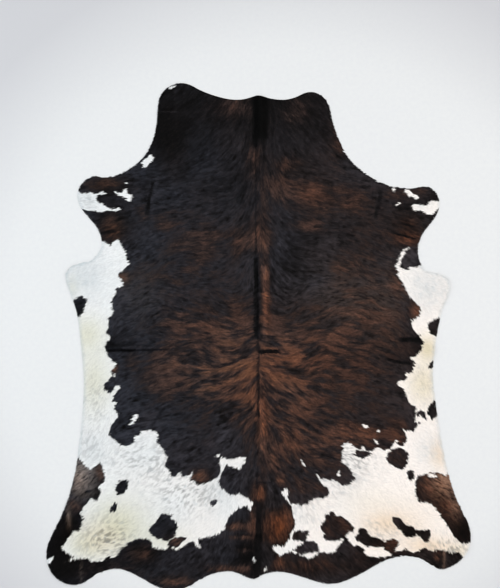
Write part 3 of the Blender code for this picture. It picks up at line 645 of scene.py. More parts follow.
def rim_loop(node):
    """Cut edge of the solid, as x, y rows in order round it: the ends of its upright edges."""
    mesh = node.data
    places = np.empty(3 * len(mesh.vertices))
    mesh.vertices.foreach_get("co", places)
    ends = np.empty(2 * len(mesh.edges), dtype=np.int32)
    mesh.edges.foreach_get("vertices", ends)
    spots = places.reshape(-1, 3)[ends.reshape(-1, 2), :2]
    upright = np.linalg.norm(spots[:, 0] - spots[:, 1], axis=1) < SAME_SPOT
    left = spots[upright, 0]
    walk = [left[0]]
    while True:
        gaps = np.linalg.norm(left - walk[-1], axis=1)
        left, gaps = left[gaps > SAME_SPOT], gaps[gaps > SAME_SPOT]
        if not len(left):
            return np.array(walk)
        walk.append(left[np.argmin(gaps)])


def rounded(loop, parts):
    """The loop with each of its steps cut into parts on a smooth curve, clockwise."""
    before, after, beyond = (np.roll(loop, shift, axis=0) for shift in (1, -1, -2))
    pieces = []
    for t in np.arange(parts) / parts:
        pieces.append(0.5 * (2 * loop + (after - before) * t
                             + (2 * before - 5 * loop + 4 * after - beyond) * t * t
                             + (3 * loop - before - 3 * after + beyond) * t ** 3))
    fine = np.stack(pieces, axis=1).reshape(-1, 2)
    x, y = fine.T
    area = np.sum(x * np.roll(y, -1) - y * np.roll(x, -1))
    return fine if area < 0.0 else fine[::-1]


def grid_distance(corners):
    """Distance of the grid's points to a closed loop, positive inside, up to MARK_REACH."""
    distance = np.full(GRID_X.shape, MARK_REACH)
    inside = np.zeros(GRID_X.shape, dtype=bool)
    for a, b in zip(corners, np.roll(corners, -1, axis=0)):
        low = np.floor((np.minimum(a, b) - MARK_REACH - GRID_LOW) / GRID_STEP).astype(int)
        high = np.ceil((np.maximum(a, b) + MARK_REACH - GRID_LOW) / GRID_STEP).astype(int)
        low, high = np.maximum(low, 0), np.maximum(high, 0)
        window = np.s_[low[1]:high[1], low[0]:high[0]]
        run = b - a
        x, y = GRID_X[window] - a[0], GRID_Y[window] - a[1]
        share = np.clip((x * run[0] + y * run[1]) / run.dot(run), 0.0, 1.0)
        gap = np.hypot(x - share * run[0], y - share * run[1])
        distance[window] = np.minimum(distance[window], gap)
        rows = np.ceil((np.sort([a[1], b[1]]) - GRID_LOW[1]) / GRID_STEP).astype(int)
        rows = slice(max(rows[0], 0), max(rows[1], 0))
        if rows.stop > rows.start:
            crossing = a[0] + run[0] * (GRID_Y[rows] - a[1]) / run[1]
            inside[rows] ^= GRID_X[rows] < crossing
    return np.where(inside, distance, -distance)


def photo_places(corners):
    """Places on the rug, in metres, of pixels of the photograph."""
    return (np.array(corners) - MIDDLE_PIXEL) * (PIXEL, -PIXEL)


def paint_markings():
    """How deep each grid point lies in the white, negative in the dark."""
    field = np.full(GRID_X.shape, -MARK_REACH)
    for marking in MARKINGS:
        distance = grid_distance(photo_places(marking.corners))
        if marking.is_white:
            field = np.maximum(field, distance)
        else:
            field = np.minimum(field, -distance)
    return field


def oval(row, x, y):
    """Soft oval of a table's row, its strength at its middle."""
    across = (x / CM - row.x) / row.reach_x
    along = (y / CM - row.y) / row.reach_y
    return row.strength * np.exp(-across ** 2 - along ** 2)


def ovals(rows, x, y):
    """Soft ovals laid over each other, up to 1."""
    left = np.ones(x.shape)
    for row in rows:
        left = left * (1.0 - oval(row, x, y))
    return 1.0 - left


def lie_of_hair(x, y):
    """Unit x and y of the hair's direction at each spot."""
    side = np.where(x > SPINE_X, 1.0, -1.0)
    outward = np.abs(x - SPINE_X)
    out, up = np.zeros(x.shape), np.zeros(x.shape)
    for guide in GUIDES:
        gap = (outward - guide.x * CM) ** 2 + (y - guide.y * CM) ** 2
        weight = 1.0 / (gap + GUIDE_REACH ** 2) ** 2 * np.exp(-gap / GUIDE_FADE ** 2)
        out += weight * math.cos(math.radians(guide.heading))
        up += weight * math.sin(math.radians(guide.heading))
    sway = WAVE * noise("sway", x, y) * ease((WAVE_TOP - y) / WAVE_FADE)
    angle = np.arctan2(up, side * out) + sway * ease(outward / WAVE_START)
    return np.cos(angle), np.sin(angle)


def nearest(values, axis):
    """Row or column of the grid that is nearest to each value."""
    place = np.round((values - GRID_LOW[axis]) / GRID_STEP)
    return np.clip(place, 0, GRID_CELLS[axis] - 1).astype(int)


def streaks(lie, grain, length, seed):
    """Noise drawn out along the lie of the hair, with a mean of 0 and a deviation of 1."""
    start = value_noise(GRID_X, GRID_Y, grain, seed)
    total = start.copy()
    count = round(0.5 * length / STREAK_STEP)
    for way in (STREAK_STEP, -STREAK_STEP):
        x, y = GRID_X.copy(), GRID_Y.copy()
        for step in range(count):
            spot = nearest(y, 1), nearest(x, 0)
            x += way * lie[0][spot]
            y += way * lie[1][spot]
            total += sample(start, x, y) * (1.0 - step / count)
    return (total - total.mean()) / total.std()


def press(x, y):
    """How far the creases press the hair down at each spot, and their painted shade, negative for paler
    crests.
    """
    depth, dark = np.zeros(x.shape), np.zeros(x.shape)
    for crease in CREASES:
        length, along, across = run_along(crease.start, crease.end, x, y)
        across = CREASE_SWAY * np.sin(along / SWAY_LENGTH + crease.start[1]) - across
        trough = ease(0.5 + 2.0 * (1.0 - np.abs(across) / (0.5 * crease.width_cm * CM)))
        trough = trough * ease(0.5 + along / CREASE_FADE)
        trough = trough * ease(0.5 + (length - along) / CREASE_FADE)
        depth = np.maximum(depth, crease.depth_mm * MM * trough)
        dark = dark + crease.dark * trough
    return depth, np.clip(dark, *PAINTED_LIGHT_RANGE)


def brown(noises, x, y):
    """How brown the dark hair is at each spot, striped or even."""
    strength = np.clip(ovals(BRINDLE, x, y), 0.0, 1.0)
    even = ovals([row._replace(strength=row.strength * row.even) for row in BRINDLE], x, y)
    stripes = ease(weigh("stripes", noises) + STRIPE_GAIN * (strength - 0.5))
    stripes = STRIPE_LEAST + (1.0 - STRIPE_LEAST) * stripes
    return strength * (stripes + even * (weigh("plain brown", noises) - stripes))


def warmth(x, y):
    """How warm the light is at each spot: from the cool left to the warm right, less far right."""
    less = ease(3.0 * (x - 0.3)) * ease(0.3 + 3.0 * y)
    return ease(0.5 + 0.75 * x - 0.3 * less + 0.2 * noise("warmth", x, y))


class Coat:
    """Everything about the coat that depends on the place: its lie, its marks and its creases."""

    def __init__(self, rim):
        self.rim_depth = grid_distance(rim)
        self.white_depth = paint_markings()
        self.lie = lie_of_hair(GRID_X, GRID_Y)
        self.streaks = {name: streaks(self.lie, *row) for name, row in STREAKS.items()}
        self.lift = lift(GRID_X, GRID_Y)
        # dark: the creases' painted shade, negative on paler crests
        self.depth, self.dark = press(GRID_X, GRID_Y)
        relief = self.lift - self.depth + self.thickness(GRID_X, GRID_Y)
        self.slope_y, self.slope_x = np.gradient(relief, GRID_STEP)
        steep = np.hypot(*np.gradient(self.lift, GRID_STEP)) > STEEP
        self.folded = steep.astype(float)

    def thickness(self, x, y):
        """Height of the locks' tips over the skin, less towards the rim."""
        rim = ease((sample(self.rim_depth, x, y) + RIM_OVERHANG) / RIM_ROLL)
        return COAT_DEPTH * (RIM_SHARE + (1.0 - RIM_SHARE) * rim)

    def heading(self, x, y):
        """Direction of the hair at each spot, as an angle, with its tufts and swirls."""
        across, along = sample(self.lie[0], x, y), sample(self.lie[1], x, y)
        turn = weigh("turn", {name: noise(name, x, y) for name in ("tuft", "small tuft")})
        curly = 1.0 + CURLY * ease(sample(self.white_depth, x, y) / CURLY_BORDER + 0.5)
        return np.arctan2(along, across) + SWIRL * turn * curly

    def noises(self, x, y):
        """Every noise that the marks use, at each spot."""
        found = {name: sample(field, x, y) for name, field in self.streaks.items()}
        found.update({name: noise(name, x, y) for name in ("tongue", "spot", "small spot", "cloud")})
        found["blotch"] = weigh("blotch", found)
        found["patch"] = weigh("patch", found)
        return found

    def whiteness(self, noises, x, y, spread):
        """How white each spot is, with ragged borders; spread sets each lock's own."""
        inside = sample(self.white_depth, x, y) - WHITE_BACK
        ragged = WHITE_RAGGED * (weigh("border", noises) + spread)
        return ease(0.5 + (inside + ragged) / WHITE_BORDER)

    def greyness(self, noises, tint, x, y):
        """How grey the white is at each spot: its grey ovals, its blotches, and painted shade along its
        rim.
        """
        grey = tint["grey"] * weigh("grey", noises)
        blotches = ease(FLECKS_RISE * (noises["blotch"] - FLECKS_FROM))
        grey = grey + (FLECKS_LEAST + FLECKS_ROAN * tint["roan"]) * blotches
        # painted shade along the rim
        grey = grey + RIM_PAINTED_SHADE * ease(1.0 - sample(self.rim_depth, x, y) / RIM_SHADE_WIDTH)
        return np.clip(grey, 0.0, 1.0)

    def marks(self, x, y, spread):
        """White, brindle, dun and shade, then cream, ruddy, grey and warm, then fade, at each spot.

        Ruddy is the peach of the white and the rust of the dark hair; fade is how far from black
        the black hair is, partly a painted sheen. Shade holds the creases' painted shade and paler
        crests, besides the mottle and the roan flecks.
        """
        noises = self.noises(x, y)
        tint = {kind: ovals(rows, x, y) for kind, rows in TINTS.items()}
        white = self.whiteness(noises, x, y, spread)
        # crease: the creases' painted shade, and paler hair where it is negative
        crease = sample(self.dark, x, y)
        crease = crease * (1.0 + CREASE_FLECKS * noises["fine"] * (crease > 0.0))
        brindle = brown(noises, x, y) * (1.0 - CREASE_HIDES * np.clip(crease, 0.0, 1.0))
        dun = tint["dun"] * ease(weigh("dun", noises))
        fade = (1.0 - tint["black"]) * weigh("fade", noises)
        shade = 1.0 - CREASE_PAINTED_SHADE * crease * (1.0 - CREASE_PALE * white)
        shade = shade + weigh("mottle", noises) * (1.0 - white)
        roan = ROAN_DARK * white * tint["roan"] * ease(weigh("roan", noises))
        shade = np.maximum(shade * (1.0 - roan), LEAST_SHADE)
        ruddy = tint["rust"] + white * (tint["peach"] - tint["rust"])
        grey = self.greyness(noises, tint, x, y)
        return (np.stack([white, brindle, dun, shade], axis=-1),
                np.stack([tint["cream"], ruddy, grey, warmth(x, y)], axis=-1),
                np.clip(fade, 0.0, 1.0))


def give_marks(mesh, coat, x, y, draw, along):
    """Store the marks at each of a mesh's points, or at each of its groups of points."""
    colours, tints, fade = coat.marks(x, y, draw - 0.5)
    group = len(along) // len(x)
    lock = np.stack([along, np.repeat(draw, group), np.repeat(fade, group), 0.0 * along], axis=-1)
    layers = {"marks": np.repeat(colours, group, axis=0), "tints": np.repeat(tints, group, axis=0),
              "lock": lock}
    for name, values in layers.items():
        layer = mesh.attributes.new(name, "FLOAT_COLOR", "POINT")
        layer.data.foreach_set("color", np.ascontiguousarray(values, dtype=np.float32).ravel())


def give_map(mesh, name, places):
    """A UV map from one u, v pair for each point of the mesh."""
    corners = np.empty(len(mesh.loops), dtype=np.int32)
    mesh.loops.foreach_get("vertex_index", corners)
    layer = mesh.uv_layers.new(name=name)
    layer.uv.foreach_set("vector", np.ascontiguousarray(places[corners], dtype=np.float32).ravel())


def flat_map(x, y):
    """A plan of the spots, as u and v from 0 to 1."""
    return np.stack([(x - x.min()) / np.ptp(x), (y - y.min()) / np.ptp(y)], axis=-1)


def add_object(name, mesh, materials):
    """Link a smooth-shaded mesh object with its materials."""
    for material in materials:
        mesh.materials.append(material)
    mesh.shade_smooth()
    item = bpy.data.objects.new(name, mesh)
    bpy.context.scene.collection.objects.link(item)
    return item


def lattice(step):
    """Spots in rows, each in the middle of six others, over all of the rug."""
    columns, rows = (np.arange(-math.ceil(half / step), math.ceil(half / step) + 1)
                     for half in HALF_SPREAD)
    x, y = np.meshgrid(columns * step, rows * step * math.sqrt(0.75))
    x = x + 0.5 * step * (rows % 2)[:, None]
    return x.ravel(), y.ravel()


def skin_spots(coat):
    """Evenly spread spots inside the cut edge, closer together on the folds."""
    x, y = lattice(SKIN_STEP)
    on_fold = sample(coat.folded, x, y) > 0.5
    fine_x, fine_y = lattice(0.5 * SKIN_STEP)
    fine_fold = sample(coat.folded, fine_x, fine_y) > 0.5
    x = np.concatenate([x[~on_fold], fine_x[fine_fold]])
    y = np.concatenate([y[~on_fold], fine_y[fine_fold]])
    keep = sample(coat.rim_depth, x, y) > SKIN_INSET + 0.6 * SKIN_STEP
    return np.stack([x[keep], y[keep]], axis=-1)


def cut_edge(rim):
    """The clockwise rim, moved inwards to where the skin ends."""
    run = np.roll(rim, -1, axis=0) - np.roll(rim, 1, axis=0)
    run /= np.linalg.norm(run, axis=1)[:, None]
    return rim + SKIN_INSET * np.stack([run[:, 1], -run[:, 0]], axis=-1)


def skin_faces(faces, ring, total):
    """Faces of the closed skin: its hair side, its underside and the wall between them."""
    onward = np.roll(ring, -1)
    walls = [np.stack([ring, onward + total, ring + total], axis=-1),
             np.stack([ring, onward, onward + total], axis=-1)]
    return np.concatenate([faces + total, faces[:, ::-1], *walls])


def build_skin(coat, rim, materials):
    """The tanned skin: a thin closed sheet on the solid's folds."""
    edge = cut_edge(rim)
    count = len(edge)
    spots = [Vector(place) for place in np.concatenate([edge, skin_spots(coat)])]
    places, _edges, faces, sources = delaunay_2d_cdt(
        spots, [], [list(range(count))], 1, JOIN_SLACK)[:4]
    x, y = np.array(places).T
    ring = {source[0]: index for index, source in enumerate(sources)
            if source and source[0] < count}
    ring = np.array([ring[step] for step in range(count)])
    total = len(x)
    low = lift(x, y)
    under = np.stack([x, y, low], axis=-1)
    over = np.stack([x, y, low + SKIN_THICKNESS], axis=-1)
    mesh = bpy.data.meshes.new("hide_skin")
    mesh.from_pydata(np.concatenate([under, over]), [], skin_faces(np.array(faces), ring, total))
    kind = np.ones(len(mesh.polygons), dtype=np.int32)
    kind[:len(faces)] = 0
    skin = add_object("hide_skin", mesh, materials)
    mesh.polygons.foreach_set("material_index", kind)
    both = np.concatenate([x, x]), np.concatenate([y, y])
    give_marks(mesh, coat, *both, np.full(2 * total, 0.5), np.full(2 * total, UNDERCOAT))
    plan = flat_map(x, y)
    give_map(mesh, "flow", np.tile(plan * SKIN_FLOW, (2, 1)))
    half = plan * (BAKE_HALF, 1.0)
    give_map(mesh, "OFBake", np.concatenate([half, half + (1.0 - BAKE_HALF, 0.0)]))
    return skin


def lock_roots(coat, draws):
    """Spots from which the locks grow, a jittered lattice up to the rim."""
    x, y = lattice(LOCK_STEP)
    x = x + LOCK_STEP * draws.uniform(-LOCK_JITTER, LOCK_JITTER, x.size)
    y = y + LOCK_STEP * draws.uniform(-LOCK_JITTER, LOCK_JITTER, y.size)
    keep = sample(coat.rim_depth, x, y) > 0.5 * SKIN_INSET
    return x[keep], y[keep]


def fit_lengths(coat, x, y, across, along, length):
    """The locks' lengths, cut shorter where they pass the rim or bridge a bend of the skin."""
    for _cut in range(CUTS):
        depth = sample(coat.rim_depth, x + across * length, y + along * length)
        length = np.where(depth < -RIM_OVERHANG, CUT_SHARE * length, length)
        far = sample(coat.lift, x + across * length, y + along * length)
        half = sample(coat.lift, x + 0.5 * across * length, y + 0.5 * along * length)
        bow = np.abs(half - 0.5 * (sample(coat.lift, x, y) + far))
        length = np.where(bow > LOCK_BOW, CUT_SHARE * length, length)
    return length


# All the locks at once: each field holds one value for each lock
Locks = namedtuple("Locks", "x y across along length width bend tone height")


def comb_locks(coat):
    """Every lock of the coat: its root, its direction, its size and its draws."""
    draws = np.random.default_rng(SEED)
    x, y = lock_roots(coat, draws)
    count = len(x)
    angle = coat.heading(x, y) + STRAY * draws.normal(0.0, 1.0, count)
    across, along = np.cos(angle), np.sin(angle)
    length = LOCK_LENGTH * draws.uniform(*LENGTH_DRAW, count)
    length = fit_lengths(coat, x, y, across, along, length)
    slim = LEAST_WIDTH + (1.0 - LEAST_WIDTH) * length / LOCK_LENGTH
    width = LOCK_WIDTH * draws.uniform(*WIDTH_DRAW, count) * slim
    bend = draws.normal(0.0, BEND, count)
    tone = draws.uniform(0.0, 1.0, count)
    height = draws.uniform(*HEIGHT_DRAW, count)
    return Locks(x, y, across, along, length, width, bend, tone, height)


# Points of a lock: share of its length, share of its width, share of the coat's depth at that
# point, share of the lock's own height
LockPoint = namedtuple("LockPoint", "place along across depth height")
LOCK_POINTS = (
    LockPoint("root", 0.0, 0.0, 0.0, -0.3), LockPoint("left", 0.42, 0.5, 0.42, -0.8),
    LockPoint("right", 0.42, -0.5, 0.42, -0.8), LockPoint("tip", 1.0, 0.0, 1.0, 0.0),
)
LOCK_FACES = ((0, 2, 3), (0, 3, 1), (0, 1, 2), (1, 3, 2))
HAIR_FLOW = (0.8, 3.0, 7.0)     # a lock's width on the flow map, and its shifts by its own tone


def lock_heights(coat, locks, x, y, point):
    """Heights of the locks' points: they lie on the skin, each with its spine over its sides."""
    depth = coat.thickness(x, y) * locks.height[:, None] - sample(coat.depth, x, y)
    z = sample(coat.lift, x, y) + SKIN_THICKNESS + LOCK_HEIGHT * point.height
    z = z + np.maximum(depth, LEAST_DEPTH) * point.depth
    spine = z[:, :1] + (z[:, -1:] - z[:, :1]) * point.along
    return np.where(point.across != 0.0, np.minimum(z, spine - LOCK_BODY * LOCK_HEIGHT), z)


def lock_normals(coat, locks, x, y, point):
    """Normals of the locks' points: the coat's relief, turned a little to each lock's own sides."""
    side = SIDE_TURN * np.sign(point.across)
    front = END_TURN * (2.0 * point.along - 1.0) * (point.across == 0.0)
    across, along = locks.across[:, None], locks.along[:, None]
    normals = np.stack([front * across - side * along - sample(coat.slope_x, x, y),
                        front * along + side * across - sample(coat.slope_y, x, y),
                        np.ones(x.shape)], axis=-1).reshape(-1, 3)
    return normals / np.linalg.norm(normals, axis=1)[:, None]


def build_locks(name, coat, locks, chosen, material):
    """One piece of the coat, made of the chosen locks."""
    locks = Locks(*(values[chosen] for values in locks))
    count = len(locks.x)
    point = LockPoint(*(np.array(column)[None, :] for column in zip(*LOCK_POINTS)))
    sideways = locks.width[:, None] * point.across
    sideways = sideways + (locks.bend * locks.length)[:, None] * point.along ** 2
    onward = locks.length[:, None] * point.along
    x = locks.x[:, None] + locks.across[:, None] * onward - locks.along[:, None] * sideways
    y = locks.y[:, None] + locks.along[:, None] * onward + locks.across[:, None] * sideways
    z = lock_heights(coat, locks, x, y, point)
    corners = np.arange(count)[:, None, None] * len(LOCK_POINTS) + np.array(LOCK_FACES)[None]
    mesh = bpy.data.meshes.new(name)
    mesh.from_pydata(np.stack([x, y, z], axis=-1).reshape(-1, 3), [], corners.reshape(-1, 3))
    piece = add_object(name, mesh, [material])
    normals = lock_normals(coat, locks, x, y, point)
    mesh.normals_split_custom_set_from_vertices(normals.astype(np.float32))
    middle = MARK_PLACE * locks.length
    give_marks(mesh, coat, locks.x + locks.across * middle, locks.y + locks.along * middle,
               locks.tone, np.tile(point.along, (count, 1)).ravel())
    wide, shift_u, shift_v = HAIR_FLOW
    tone = locks.tone[:, None]
    plan = np.stack([wide * point.across + shift_u * tone, point.along + shift_v * tone], axis=-1)
    give_map(mesh, "flow", plan.reshape(-1, 2))
    give_map(mesh, "OFBake", flat_map(x.ravel(), y.ravel()))
    return piece


# Pieces of the coat: where each lies between two heights (cm), and on which side of the spine
CoatPiece = namedtuple("CoatPiece", "name low high side")
COAT_PIECES = (
    CoatPiece("coat_neck", 50.0, 150.0, 0), CoatPiece("coat_left_side", -40.0, 50.0, -1),
    CoatPiece("coat_right_side", -40.0, 50.0, 1), CoatPiece("coat_left_rump", -150.0, -40.0, -1),
    CoatPiece("coat_right_rump", -150.0, -40.0, 1),
)


def build_coat(coat, material):
    """The pieces of the coat."""
    locks = comb_locks(coat)
    pieces = []
    for row in COAT_PIECES:
        chosen = (locks.y > row.low * CM) & (locks.y <= row.high * CM)
        if row.side:
            chosen &= (locks.x > SPINE_X) == (row.side > 0)
        pieces.append(build_locks(row.name, coat, locks, chosen, material))
    return pieces


def linear(red, green, blue):
    """A shader colour from display values from 0 to 255."""
    channels = [value / 255.0 for value in (red, green, blue)]
    return tuple(c / 12.92 if c < 0.04045 else ((c + 0.055) / 1.055) ** 2.4
                 for c in channels) + (1.0,)


def new_material(name, specular):
    """A node material with its tree and its shader."""
    material = bpy.data.materials.new(name)
    material.use_nodes = True
    shader = material.node_tree.nodes["Principled BSDF"]
    shader.inputs["Specular IOR Level"].default_value = specular
    return material, material.node_tree, shader


def put(tree, socket, value):
    """Link a socket's value, or set it: a tuple is a colour in display values."""
    if isinstance(value, bpy.types.NodeSocket):
        tree.links.new(value, socket)
    elif isinstance(value, tuple):
        socket.default_value = linear(*value)
    else:
        socket.default_value = value


def maths(tree, operation, first, second=0.0, third=0.0):
    """Result of a Math node."""
    node = tree.nodes.new("ShaderNodeMath")
    node.operation = operation
    for socket, value in zip(node.inputs, (first, second, third)):
        put(tree, socket, value)
    return node.outputs[0]


def scaled(tree, value, factor, start=0.0):
    """A value times a factor, plus a start."""
    return maths(tree, "MULTIPLY_ADD", value, factor, start)


def blend(tree, factor, first, second, kind="MIX"):
    """Two colours mixed by a factor."""
    node = tree.nodes.new("ShaderNodeMix")
    node.data_type = "RGBA"
    node.blend_type = kind
    put(tree, node.inputs["Factor"], factor)
    put(tree, node.inputs["A"], first)
    put(tree, node.inputs["B"], second)
    return node.outputs["Result"]


def dim(tree, colour, factor):
    """A colour made darker or lighter by a factor."""
    node = tree.nodes.new("ShaderNodeVectorMath")
    node.operation = "SCALE"
    put(tree, node.inputs[0], colour)
    put(tree, node.inputs["Scale"], factor)
    return node.outputs[0]


def ramp(tree, factor, stops):
    """A colour from a list of place, colour pairs."""
    node = tree.nodes.new("ShaderNodeValToRGB")
    put(tree, node.inputs[0], factor)
    elements = node.color_ramp.elements
    while len(elements) < len(stops):
        elements.new(1.0)
    for element, (place, colour) in zip(elements, stops):
        element.position = place
        element.color = linear(*colour)
    return node.outputs["Color"]


def attribute(tree, name):
    """Red, green, blue and alpha of a stored colour."""
    node = tree.nodes.new("ShaderNodeAttribute")
    node.attribute_name = name
    split = tree.nodes.new("ShaderNodeSeparateColor")
    tree.links.new(node.outputs["Color"], split.inputs[0])
    return (*split.outputs[:3], node.outputs["Alpha"])


def noise_at(tree, place, scale, detail):
    """Noise at the places that a socket gives."""
    node = tree.nodes.new("ShaderNodeTexNoise")
    node.inputs["Scale"].default_value = scale
    node.inputs["Detail"].default_value = detail
    tree.links.new(place, node.inputs["Vector"])
    return node.outputs[0]


def strand_noise(tree, scale, stretch, detail):
    """Noise on the flow map, whose hairs run along v."""
    coordinates = tree.nodes.new("ShaderNodeUVMap")
    coordinates.uv_map = "flow"
    mapping = tree.nodes.new("ShaderNodeMapping")
    mapping.inputs["Scale"].default_value = (scale, scale / stretch, 1.0)
    tree.links.new(coordinates.outputs[0], mapping.inputs[0])
    return noise_at(tree, mapping.outputs[0], 1.0, detail)


def object_place(tree):
    """The object's own coordinates."""
    return tree.nodes.new("ShaderNodeTexCoord").outputs["Object"]


def add_bump(tree, shader, height, strength, distance):
    """Fine relief in the shader's normal."""
    node = tree.nodes.new("ShaderNodeBump")
    node.inputs["Strength"].default_value = strength
    node.inputs["Distance"].default_value = distance
    tree.links.new(height, node.inputs["Height"])
    tree.links.new(node.outputs[0], shader.inputs["Normal"])


# Colours of the coat, in display values. A pair is what the colour is in cool and in warm light.
BLACK = (7, 6, 6)
# Faded black is partly a greyer tone of the hair and partly painted sheen put into its colour.
FADED_BLACK = (55, 53, 57)
BROWNS = ((0.0, (20, 16, 15)), (0.35, (46, 36, 33)), (0.6, (71, 51, 43)),
          (0.85, (93, 63, 48)), (1.0, (114, 76, 54)))
DUNS = ((0.2, (102, 88, 78)), (0.55, (154, 133, 119)), (0.8, (204, 184, 168)))
RUST = (255, 214, 176)
LIGHTS_TINGE = ((222, 238, 255), (255, 239, 232))
WHITES = ((233, 236, 238), (250, 243, 238))
CREAMS = ((209, 208, 178), (220, 209, 178))
PEACH = (237, 214, 187)
GREY = (187, 197, 203)
STRAND_SHADE = (214, 208, 198)

# Slopes and starts of what follows a strand, a lock's own tone, its length or the white
BROWN_BY_STRAND = (0.24, -0.12)
BROWN_BY_TONE = (0.12, -0.06)
BROWN_CLEAR = 3.0               # how fast the brown shows over the black as its level rises
LIGHT_BY_LENGTH = (0.20, 0.88)
SPREAD_BY_WHITE = (-0.29, 0.44)  # how much the locks differ in light, less in the white
SHADE_BY_STRAND = 0.25
ROUGHNESS_BY_STRAND = (0.25, 0.45)


def dark_hair(tree, strand, brown_level, dun, ruddy, fade, warm):
    """Black hair with its brown brindle, and the dun and rust of the legs."""
    # fade greys the black: partly hair tone, partly painted sheen
    black = blend(tree, fade, BLACK, FADED_BLACK)
    browns = ramp(tree, brown_level, BROWNS)
    colour = blend(tree, scaled(tree, brown_level, BROWN_CLEAR), black, browns)
    colour = blend(tree, dun, colour, ramp(tree, strand, DUNS))
    colour = blend(tree, ruddy, colour, RUST, "MULTIPLY")
    return blend(tree, 1.0, colour, blend(tree, warm, *LIGHTS_TINGE), "MULTIPLY")


def white_hair(tree, strand, cream, ruddy, grey, warm):
    """White hair with its cream, peach and grey."""
    colour = blend(tree, warm, *WHITES)
    colour = blend(tree, cream, colour, blend(tree, warm, *CREAMS))
    colour = blend(tree, ruddy, colour, PEACH)
    colour = blend(tree, grey, colour, GREY)
    return blend(tree, scaled(tree, strand, SHADE_BY_STRAND), colour, STRAND_SHADE, "MULTIPLY")


def hair_material():
    """The coat: black to brindle brown hair with white markings, each lock finely streaked."""
    material, tree, shader = new_material("cow_hair", 0.04)
    white, brindle, dun, shade = attribute(tree, "marks")
    cream, ruddy, grey, warm = attribute(tree, "tints")
    along, tone, fade = attribute(tree, "lock")[:3]
    strand = strand_noise(tree, 9.0, 7.0, 3.0)

    level = maths(tree, "ADD", scaled(tree, strand, *BROWN_BY_STRAND), brindle)
    level = maths(tree, "ADD", scaled(tree, tone, *BROWN_BY_TONE), level)
    dark = dark_hair(tree, strand, level, dun, ruddy, fade, warm)
    pale = white_hair(tree, strand, cream, ruddy, grey, warm)
    colour = blend(tree, white, dark, pale)

    tip = scaled(tree, along, *LIGHT_BY_LENGTH)
    spread = scaled(tree, white, *SPREAD_BY_WHITE)
    glint = scaled(tree, maths(tree, "SUBTRACT", tone, 0.5), spread, 1.0)
    light = maths(tree, "MULTIPLY", maths(tree, "MULTIPLY", shade, tip), glint)
    put(tree, shader.inputs["Base Color"], dim(tree, colour, light))
    put(tree, shader.inputs["Roughness"], scaled(tree, strand, *ROUGHNESS_BY_STRAND))
    add_bump(tree, shader, strand, 0.4, 0.3 * MM)
    return material


# The suede: its colours by cloud, stain and fibre, and the scale and detail of each of these
SUEDE = ((0.35, (196, 178, 146)), (0.65, (214, 200, 172)))
SUEDE_STAINS = ((0.35, (216, 202, 176)), (0.7, (255, 255, 255)))
SUEDE_FIBRES = ((0.35, (214, 210, 204)), (0.65, (255, 255, 255)))
SUEDE_NOISES = ((5.0, 4.0), (55.0, 5.0), (620.0, 3.0))


def suede_material():
    """The flesh side and the cut rim: pale tanned leather with a short nap."""
    material, tree, shader = new_material("suede", 0.25)
    place = object_place(tree)
    cloud, blotch, nap = (noise_at(tree, place, *row) for row in SUEDE_NOISES)
    colour = blend(tree, 0.4, ramp(tree, cloud, SUEDE), ramp(tree, blotch, SUEDE_STAINS), "MULTIPLY")
    colour = blend(tree, 0.6, colour, ramp(tree, nap, SUEDE_FIBRES), "MULTIPLY")
    put(tree, shader.inputs["Base Color"], colour)
    put(tree, shader.inputs["Roughness"], scaled(tree, nap, 0.2, 0.78))
    shader.inputs["Sheen Weight"].default_value = 0.3
    shader.inputs["Sheen Roughness"].default_value = 0.6
    add_bump(tree, shader, scaled(tree, nap, 0.5, blotch), 0.6, 0.8 * MM)
    return material


# The floor: a round one, so wide that its rim lies level all round, with a painted light falloff: paler
# round the rug, darker further out
FLOOR_RADIUS = 40.0
FLOOR_SIDES = 96
FLOOR_DROP = 0.3 * MM           # keeps the floor just under the rug's underside
FLOOR_MIDDLE = (0.11, 0.015, 0.0)
FLOOR_PALE = ((0.3, (218, 220, 222)), (0.7, (221, 223, 224)))
# the floor's colour where the painted light falloff is full
FLOOR_PAINTED_DIM = (198, 199, 203)
FLOOR_FALL = (2.4, -2.9)        # how the painted light falloff sets in: a slope for each metre, and its start
FLOOR_SOFT = 0.3                # how softly that slope starts


def floor_material():
    """Pale floor with a very soft unevenness, darker away from the rug as a painted light falloff."""
    material, tree, shader = new_material("pale_floor", 0.1)
    place = object_place(tree)
    colour = ramp(tree, noise_at(tree, place, 60.0, 2.0), FLOOR_PALE)
    away = tree.nodes.new("ShaderNodeVectorMath")
    away.operation = "DISTANCE"
    away.inputs[1].default_value = FLOOR_MIDDLE
    tree.links.new(place, away.inputs[0])
    # painted light falloff: darker away from the rug
    painted_falloff = scaled(tree, away.outputs["Value"], *FLOOR_FALL)
    painted_falloff = maths(tree, "MINIMUM", maths(tree, "SMOOTH_MAX", painted_falloff, 0.0, FLOOR_SOFT), 1.0)
    put(tree, shader.inputs["Base Color"], blend(tree, painted_falloff, colour, FLOOR_PAINTED_DIM))
    shader.inputs["Roughness"].default_value = 0.9
    return material


def build_floor():
    """The plain round floor under the rug."""
    mesh = bpy.data.meshes.new("floor")
    turns = 2.0 * math.pi * np.arange(FLOOR_SIDES) / FLOOR_SIDES
    rim = FLOOR_RADIUS * np.stack([np.cos(turns), np.sin(turns), 0.0 * turns], axis=-1)
    fan = [(side, (side + 1) % FLOOR_SIDES, FLOOR_SIDES) for side in range(FLOOR_SIDES)]
    mesh.from_pydata([*rim.tolist(), (0.0, 0.0, 0.0)], [], fan)
    floor = add_object("floor", mesh, [floor_material()])
    floor.location.z = -FLOOR_DROP


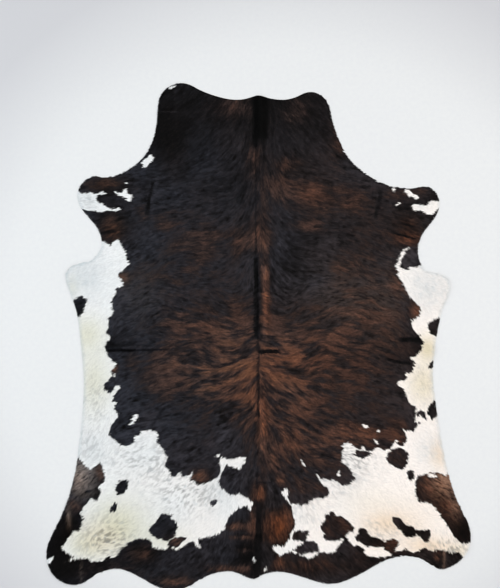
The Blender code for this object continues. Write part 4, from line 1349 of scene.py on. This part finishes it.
# Soft lights: where each square lamp hangs, its size, its power and its colour
Lamp = namedtuple("Lamp", "name place size watts colour")
LAMPS = (
    Lamp("over_soft", (0.5, -0.05, 4.4), 1.2, 40.0, (1.0, 0.99, 0.98)),
    Lamp("left_soft", (-3.2, 0.6, 2.8), 2.4, 36.0, (0.82, 0.94, 1.0)),
    Lamp("right_soft", (3.0, 0.7, 3.0), 2.4, 28.0, (1.0, 0.93, 0.87)),
)
SKY_LIGHT = 1.16                # strength of the high light over all the floor
SKY_SPREAD = math.radians(16)
WORLD_LIGHT = 0.44              # strength of the white surround
WORLD_COLOUR = (0.985, 0.99, 1.0, 1.0)


def hang_light(name, kind, place, strength, colour):
    """A light that shines from a place towards the origin; gives its data."""
    data = bpy.data.lights.new(name, kind)
    data.energy = strength
    data.color = colour
    item = bpy.data.objects.new(name, data)
    item.location = place
    item.rotation_euler = Vector(place).to_track_quat("Z", "Y").to_euler()
    bpy.context.scene.collection.objects.link(item)
    return data


def build_lights():
    """A soft white surround, soft lamps over the rug and at its sides, and a high soft light."""
    world = bpy.data.worlds.new("studio")
    bpy.context.scene.world = world
    world.use_nodes = True
    surround = world.node_tree.nodes["Background"]
    surround.inputs["Color"].default_value = WORLD_COLOUR
    surround.inputs["Strength"].default_value = WORLD_LIGHT
    for lamp in LAMPS:
        data = hang_light(lamp.name, "AREA", lamp.place, lamp.watts, lamp.colour)
        data.size = lamp.size
    high = hang_light("sky_soft", "SUN", LAMPS[0].place, SKY_LIGHT, LAMPS[0].colour)
    high.angle = SKY_SPREAD


def build_camera():
    """A camera straight above, whose picture spans what the photograph spans."""
    data = bpy.data.cameras.new("camera")
    data.lens = 60.0
    data.sensor_width = 36.0
    camera = bpy.data.objects.new("camera", data)
    middle = photo_places([[size / 2 for size in FRAME_PIXELS]])[0]
    height = FRAME_PIXELS[1] * PIXEL * data.lens / data.sensor_width
    camera.location = (middle[0], middle[1], height)
    bpy.context.scene.collection.objects.link(camera)
    bpy.context.scene.camera = camera


def declare(skin, pieces):
    """Hide the solid's own hide, and attach each piece to the root body that it moves with."""
    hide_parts("hide")
    for piece in (skin, *pieces):
        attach(piece, "root")


def main():
    """Build the camera, the lights, the floor and the dressed rug."""
    bpy.context.scene.view_settings.view_transform = "Standard"
    build_camera()
    build_lights()
    build_floor()
    rim = rounded(rim_loop(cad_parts["hide"]), RIM_PARTS)
    coat = Coat(rim)
    hair = hair_material()
    skin = build_skin(coat, rim, [hair, suede_material()])
    pieces = build_coat(coat, hair)
    declare(skin, pieces)


main()
